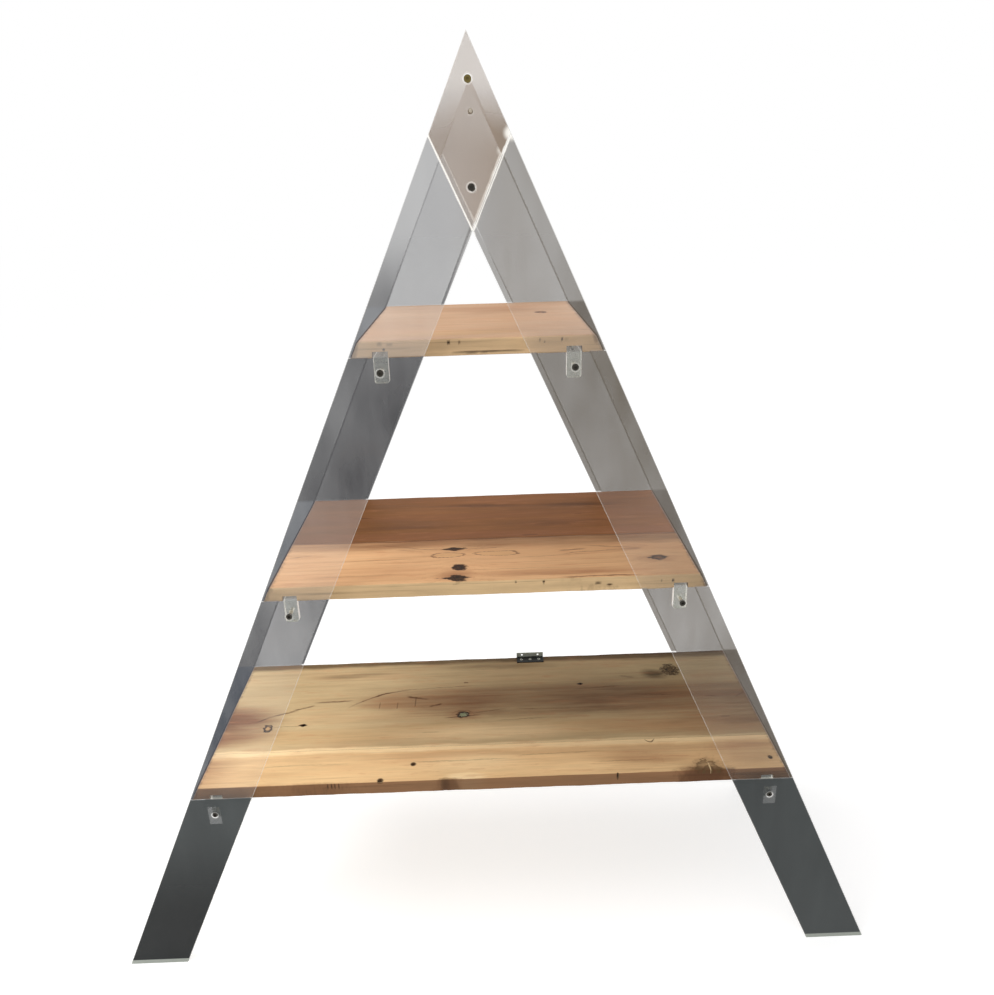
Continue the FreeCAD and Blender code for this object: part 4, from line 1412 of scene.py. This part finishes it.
def press_marks(marks, x, y, z, top):
    """How far each point sinks, and how dark it is, grime with painted shade in the hollow: each mark is a
    bowl, 1 less a power of its reach.
    """
    sink = np.zeros_like(y)
    grime = np.zeros_like(y)
    for mark in marks:
        span_x = (x - mark.x) / (mark.radius + mark.long)
        span_y = (y - mark.y) / mark.radius
        span_z = (z - top + mark.below) / (mark.radius + mark.tall)
        reach = np.sqrt(span_x ** 2 + span_y ** 2 + span_z ** 2)
        sink = np.maximum(sink, mark.sink * np.clip(1 - reach ** BOWL_POWER, 0, 1))
        grime = np.maximum(grime, mark.grime * np.sqrt(np.clip(MARK_DARK_REACH - reach, 0, 1)))
    return sink, grime


def housing_walls(shelf, place):
    """Walls of the bracket housings: a pair along X for each, one along Y for both, and their roof."""
    boxes = [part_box(bracket_name(shelf, place, side)) for side in SIDES]
    spans = [(low.x - HOUSING_CLEARANCE, high.x + HOUSING_CLEARANCE) for low, high in boxes]
    low, high = boxes[0]
    wall = high.y + HOUSING_CLEARANCE if place == "front" else low.y - HOUSING_CLEARANCE
    return spans, wall, high.z + CONTACT_GAP


def plank_mesh(shelf, place):
    """Points, faces and darkening, grime with painted shade, of a worn plank: its section carried along X,
    with sloping ends.

    Each point sinks along the section's inward direction by the deepest mark near it, and the bracket
    housings are cut by raising the points under them to the housing's roof, where painted shade darkens
    them.
    """
    node = plank_name(shelf, place)
    low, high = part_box(node)
    middle = (low + high) / 2
    half = high.x - (high.z - low.z) / 2 * LEAN
    marks = MARKS.get(node, [])
    spans, wall, roof = housing_walls(shelf, place)
    near_x = [(mark.x, mark.radius + mark.long) for mark in marks]
    near_y = [(mark.y, mark.radius) for mark in marks if not mark.below]
    near_z = [(high.z - mark.below, mark.radius + mark.tall) for mark in marks]
    x_places = stations(-half + END_ARRIS, half - END_ARRIS, PLANK_STEP, near_x, sum(spans, ()))
    y_places = stations(low.y + FLAT_INSET, high.y - FLAT_INSET, PLANK_STEP, near_y, [wall])
    z_places = stations(low.z + FLAT_INSET, high.z - FLAT_INSET, EDGE_STEP, near_z, [roof])
    rows = section_rows(low, high, y_places, z_places)
    radii = corner_radii(x_places, place, seed=sum(map(ord, node)))
    section = rows["base"][None] + rows["share"][None] * radii[rows["corner"]].T[:, :, None]
    x = np.broadcast_to(x_places[:, None], section.shape[:2])
    y, z = section[..., 0], section[..., 1]
    sink, grime = press_marks(marks, x, y, z, high.z)
    y = y + sink * rows["inward"][:, 0]
    z = z + sink * rows["inward"][:, 1]
    inside_y = y < wall if place == "front" else y > wall
    for start, end in spans:
        sunk = (x > start) & (x < end) & inside_y & (z < roof)
        z = np.where(sunk, roof, z)
        # Painted shade in the housings
        grime = np.where(sunk, HOUSING_SHADE, grime)
    end_share = np.clip((abs(x) - (half - LEAN_LENGTH)) / (LEAN_LENGTH - END_ARRIS), 0, 1)
    x = x + np.sign(x) * end_share * (middle.z - z) * LEAN
    columns = np.stack([x, y, z], axis=-1)
    left_cap = end_cap(columns[0], middle, -half)[::-1]
    right_cap = end_cap(columns[-1], middle, half)
    columns = np.concatenate([left_cap, columns, right_cap])
    caps = len(CAP_SHARES)
    grime = np.concatenate([np.repeat(grime[:1], caps, 0), grime, np.repeat(grime[-1:], caps, 0)])
    faces = tube_faces(columns.shape[1], columns.shape[0])
    return columns.reshape(-1, 3), faces, grime.ravel()


def end_cap(loop, middle, half):
    """Rings that close a plank's end: the last section drawn in towards its middle on the sloping end."""
    rings = []
    centre = np.array([middle.y, middle.z])
    extent = np.ptp(loop[:, 1:], axis=0) / 2
    for cap_share in CAP_SHARES:
        ring = loop.copy()
        ring[:, 1:] = centre + (loop[:, 1:] - centre) * (1 - END_ARRIS / extent) * cap_share
        ring[:, 0] = half + math.copysign(1, half) * (middle.z - ring[:, 2]) * LEAN
        rings.append(ring)
    return np.array(rings)


def tube_faces(rows, columns):
    """Quads between neighbouring closed loops of points, stored loop after loop, facing outwards."""
    row = np.arange(rows)
    column = np.arange(columns - 1)[:, None]
    first = column * rows + row
    beside = column * rows + (row + 1) % rows
    return np.stack([first, first + rows, beside + rows, beside], axis=-1).reshape(-1, 4)


def place_mesh(mesh):
    """A mesh as an object of the same name at the origin."""
    made = bpy.data.objects.new(mesh.name, mesh)
    bpy.context.scene.collection.objects.link(made)
    return made


def mesh_piece(name, points, faces, material, grime):
    """A mesh object at the origin with its doubles merged, smooth except at corners."""
    mesh = bpy.data.meshes.new(name)
    mesh.from_pydata(points.tolist(), [], faces.tolist())
    mesh.attributes.new("grime", "FLOAT", "POINT").data.foreach_set("value", grime.astype(np.float32))
    mesh.materials.append(material)
    work = bmesh.new()
    work.from_mesh(mesh)
    bmesh.ops.remove_doubles(work, verts=work.verts, dist=MERGE_REACH)
    bmesh.ops.dissolve_degenerate(work, edges=work.edges, dist=MERGE_REACH / 10)
    if work.calc_volume(signed=True) < 0:
        bmesh.ops.reverse_faces(work, faces=work.faces)
    work.to_mesh(mesh)
    work.free()
    mesh.shade_smooth()
    mesh.set_sharp_from_angle(angle=SHARP_ANGLE)
    return place_mesh(mesh)


# Metal

RUB = ((500, 500, 500), 3.0)
BLOOM = ((700, 700, 700), 3.0)
SCUFF = ((300, 300, 300), 4.0)
# Pale shanks and inner ends: a painted highlight seen through the clear legs
SCREW_END_REACH = (6 * MM, 3 * MM)      # from the frame's inside: where a screw's end pales, and is pale
SCREW_HEAD_REACH = (5 * MM, 6 * MM)     # from the frame's outside: where a shank pales, and is pale
BELOW_APEX = (20 * MM, 50 * MM)         # below the apex screws: only shanks down there are pale
UPPER_BLEND = 10 * MM
RUBBED_SHARE = 0.35
# Painted warm reflection on the top pair
WARM_REFLECTION_SHARE = 0.8
BLOOM_SHARE = 0.3
SHEEN_REACH = (2.2 * MM, 3.4 * MM)       # above the anchor's foot: where its upright turns pale, a painted sky reflection


def black_steel(settings):
    """Screws with blackened heads, rubbed brighter in patches; pale shanks and ends are a painted
    highlight, and the top pair's warm colour a painted reflection.
    """
    shader = Shader("black_screw_steel")
    y, z = shader.split(shader.point)[1:]
    rub = shader.noise(*RUB) + 0.5
    low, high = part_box("apex_screws")
    middle = (low.z + high.z) / 2
    upper = shader.ease(z, middle - UPPER_BLEND, middle + UPPER_BLEND)
    end_start, end_full = SCREW_END_REACH
    end = shader.ease(abs(y), FRAME_INNER + end_start, FRAME_INNER + end_full)
    shank_start, shank_full = SCREW_HEAD_REACH
    shank = shader.ease(abs(y), FRAME_OUTER - shank_start, FRAME_OUTER - shank_full)
    below_start, below_full = BELOW_APEX
    shank = shank * shader.ease(z, low.z - below_start, low.z - below_full)
    pale = shader.larger(end * upper, shank)
    colour = shader.blend(rub * RUBBED_SHARE, settings.black, settings.rubbed)
    colour = shader.blend(upper * WARM_REFLECTION_SHARE, colour, settings.warm_reflection)
    colour = shader.blend(pale, colour, settings.pale_sheen)
    return shader.finish(Base_Color=colour, Metallic=0.85 - pale * 0.6, Roughness=0.3 + rub * 0.25)


def zinc_steel(settings):
    """Bright zinc-plated screws with a faint cloudy bloom."""
    shader = Shader("zinc_screw_steel")
    bloom = shader.noise(*BLOOM) + 0.5
    colour = shader.blend(bloom * BLOOM_SHARE, settings.zinc, settings.bloom)
    colour = shader.brighten(colour, 0.8 + bloom * 0.4)
    return shader.finish(Base_Color=colour, Metallic=0.9, Roughness=0.25 + bloom * 0.25)


def anchor_steel(settings):
    """A bent steel angle: its foot darkened by painted shade, its grey-green upright lightened by a
    painted sky reflection.
    """
    shader = Shader("anchor_steel")
    z = shader.split(shader.point)[2]
    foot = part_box("wall_anchor")[0].z
    scuff = shader.noise(*SCUFF)
    start, full = SHEEN_REACH
    pale_sheen = shader.ease(z + scuff * MM, foot + start, foot + full)
    colour = shader.blend(pale_sheen, settings.anchor_foot_shade, settings.anchor_upright_sheen)
    colour = shader.brighten(colour, 1 + scuff * 0.5)
    return shader.finish(Base_Color=colour, Metallic=0.4, Roughness=0.45 + scuff * 0.2)


# Stage


def seen_directly(graph):
    """1 for rays that look straight at a surface, by mirror or through glass, and 0 for light paths."""
    path = graph.node("ShaderNodeLightPath").outputs
    mirrored = graph.larger(path["Is Camera Ray"], path["Is Glossy Ray"])
    return graph.larger(mirrored, path["Is Transmission Ray"])


def make_floor(settings):
    """A wide pale floor that keeps the shelf's shadow and fades into the white background."""
    material = bpy.data.materials.new("pale_floor")
    material.use_nodes = True
    graph = Graph(material.node_tree)
    diffuse = graph.node("ShaderNodeBsdfDiffuse", Color=settings.floor_tone)
    glow = graph.node("ShaderNodeEmission", Strength=seen_directly(graph) * settings.floor_glow)
    both = graph.node("ShaderNodeAddShader", i0=diffuse.outputs[0], i1=glow.outputs[0])
    graph.node("ShaderNodeOutputMaterial", Surface=both.outputs[0])
    reach = settings.floor_reach
    corners = [(-reach, -reach, 0), (reach, -reach, 0), (reach, reach, 0), (-reach, reach, 0)]
    mesh = bpy.data.meshes.new("floor")
    mesh.from_pydata(corners, [], [(0, 1, 2, 3)])
    mesh.materials.append(material)
    floor = place_mesh(mesh)


def make_sky(settings):
    """White all round where it is seen, and an even soft light elsewhere."""
    world = bpy.data.worlds.new("studio")
    world.use_nodes = True
    graph = Graph(world.node_tree)
    strength = between(seen_directly(graph), settings.sky_strength, 1.0)
    background = graph.node("ShaderNodeBackground", Color=(1.0, 1.0, 1.0), Strength=strength)
    graph.node("ShaderNodeOutputWorld", Surface=background.outputs[0])
    bpy.context.scene.world = world


def make_lamp(settings):
    """One large lamp above and to the left, turned towards the middle of the shelf."""
    lamp = bpy.data.lights.new("key", "AREA")
    lamp.shape = "RECTANGLE"
    lamp.size = settings.key_width
    lamp.size_y = settings.key_height
    lamp.energy = settings.key_power
    key = bpy.data.objects.new("key", lamp)
    key.location = settings.key_place
    target = Vector((0.0, 0.0, OVERALL_HEIGHT / 2))
    key.rotation_mode = "QUATERNION"
    key.rotation_quaternion = (target - key.location).to_track_quat("-Z", "Y")
    bpy.context.scene.collection.objects.link(key)


def make_camera(settings):
    """The camera by its place and its three turns, for a square picture."""
    yaw, pitch, roll = settings.camera_yaw, settings.camera_pitch, settings.camera_roll
    ahead = Vector((math.sin(yaw) * math.cos(pitch), math.cos(yaw) * math.cos(pitch), -math.sin(pitch)))
    level = Vector((math.cos(yaw), -math.sin(yaw), 0.0))
    upright = level.cross(ahead)
    right = level * math.cos(roll) + upright * math.sin(roll)
    up = upright * math.cos(roll) - level * math.sin(roll)
    lens = bpy.data.cameras.new("camera")
    lens.sensor_fit = "HORIZONTAL"
    lens.sensor_width = 36.0
    lens.lens = settings.lens
    lens.clip_end = 200.0
    camera = bpy.data.objects.new("camera", lens)
    turn = Matrix((right, up, -ahead)).transposed().to_4x4()
    camera.matrix_world = Matrix.Translation(settings.camera_place) @ turn
    bpy.context.scene.collection.objects.link(camera)
    bpy.context.scene.camera = camera


# Operators


def clothe(node, material):
    """Gives a CAD node a new finish."""
    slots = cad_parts[node].data.materials
    slots.clear()
    slots.append(material)


class SHELF_OT_legs(bpy.types.Operator):
    """Finish the four acrylic legs"""
    bl_idname = "shelf.legs"
    bl_label = "Acrylic legs"

    def execute(self, context):
        material = leg_acrylic(context.scene.shelf_acrylic)
        for place in PLACES:
            for side in SIDES:
                clothe(f"{place}_{side}_leg", material)
        return {"FINISHED"}


class SHELF_OT_brackets(bpy.types.Operator):
    """Finish the twelve bent acrylic brackets"""
    bl_idname = "shelf.brackets"
    bl_label = "Shelf brackets"

    def execute(self, context):
        material = bracket_acrylic(context.scene.shelf_acrylic)
        for shelf in SHELVES:
            for place in PLACES:
                for side in SIDES:
                    clothe(bracket_name(shelf, place, side), material)
        return {"FINISHED"}


class SHELF_OT_planks(bpy.types.Operator):
    """Build the six worn planks in place of the plain ones"""
    bl_idname = "shelf.planks"
    bl_label = "Reclaimed planks"

    def execute(self, context):
        for shelf in SHELVES:
            for place in PLACES:
                node = plank_name(shelf, place)
                kind = wood_kind(shelf, place)
                material = plank_wood(node, kind, context.scene.shelf_wood)
                points, faces, grime = plank_mesh(shelf, place)
                board = mesh_piece(f"{shelf}_shelf_{place}_board", points, faces, material, grime)
                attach(board, BODY)
                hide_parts(node)
        return {"FINISHED"}


class SHELF_OT_metal(bpy.types.Operator):
    """Finish the screws and the wall anchor"""
    bl_idname = "shelf.metal"
    bl_label = "Screws and anchor"

    def execute(self, context):
        settings = context.scene.shelf_metal
        black = black_steel(settings)
        zinc = zinc_steel(settings)
        clothe("bracket_screws", black)
        clothe("apex_screws", black)
        clothe("bracket_wood_screws", zinc)
        clothe("wall_anchor_screws", zinc)
        clothe("wall_anchor", anchor_steel(settings))
        return {"FINISHED"}


class SHELF_OT_stage(bpy.types.Operator):
    """Set up the floor, the light and the camera"""
    bl_idname = "shelf.stage"
    bl_label = "Stage"

    def execute(self, context):
        settings = context.scene.shelf_stage
        make_floor(settings)
        make_sky(settings)
        make_lamp(settings)
        make_camera(settings)
        context.scene.view_settings.view_transform = "Standard"
        context.scene.cycles.transparent_max_bounces = 32
        return {"FINISHED"}


class SHELF_PT_sidebar(bpy.types.Panel):
    """Lists the steps that finish the shelf"""
    bl_idname = "SHELF_PT_sidebar"
    bl_label = "Triangular Shelf"
    bl_space_type = "VIEW_3D"
    bl_region_type = "UI"
    bl_category = "Shelf"

    def draw(self, context):
        for step in STEPS:
            self.layout.operator(step.bl_idname)
        for name in SETTINGS:
            box = self.layout.box()
            group = getattr(context.scene, name)
            for key in group.bl_rna.properties.keys():
                if key not in ("rna_type", "name"):
                    box.prop(group, key)


STEPS = (SHELF_OT_legs, SHELF_OT_brackets, SHELF_OT_planks, SHELF_OT_metal, SHELF_OT_stage)
SETTINGS = {
    "shelf_acrylic": ShelfAcrylicSettings,
    "shelf_wood": ShelfWoodSettings,
    "shelf_metal": ShelfMetalSettings,
    "shelf_stage": ShelfStageSettings,
}


def register():
    """Registers the settings, the steps and the panel."""
    for name, group in SETTINGS.items():
        bpy.utils.register_class(group)
        setattr(bpy.types.Scene, name, PointerProperty(type=group))
    for kind in (*STEPS, SHELF_PT_sidebar):
        bpy.utils.register_class(kind)


def unregister():
    """Takes back what register added."""
    for kind in (SHELF_PT_sidebar, *reversed(STEPS)):
        bpy.utils.unregister_class(kind)
    for name, group in SETTINGS.items():
        delattr(bpy.types.Scene, name)
        bpy.utils.unregister_class(group)


def main():
    """Registers the add-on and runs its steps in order."""
    register()
    bpy.ops.shelf.legs()
    bpy.ops.shelf.brackets()
    bpy.ops.shelf.planks()
    bpy.ops.shelf.metal()
    bpy.ops.shelf.stage()


if __name__ == "__main__":
    main()
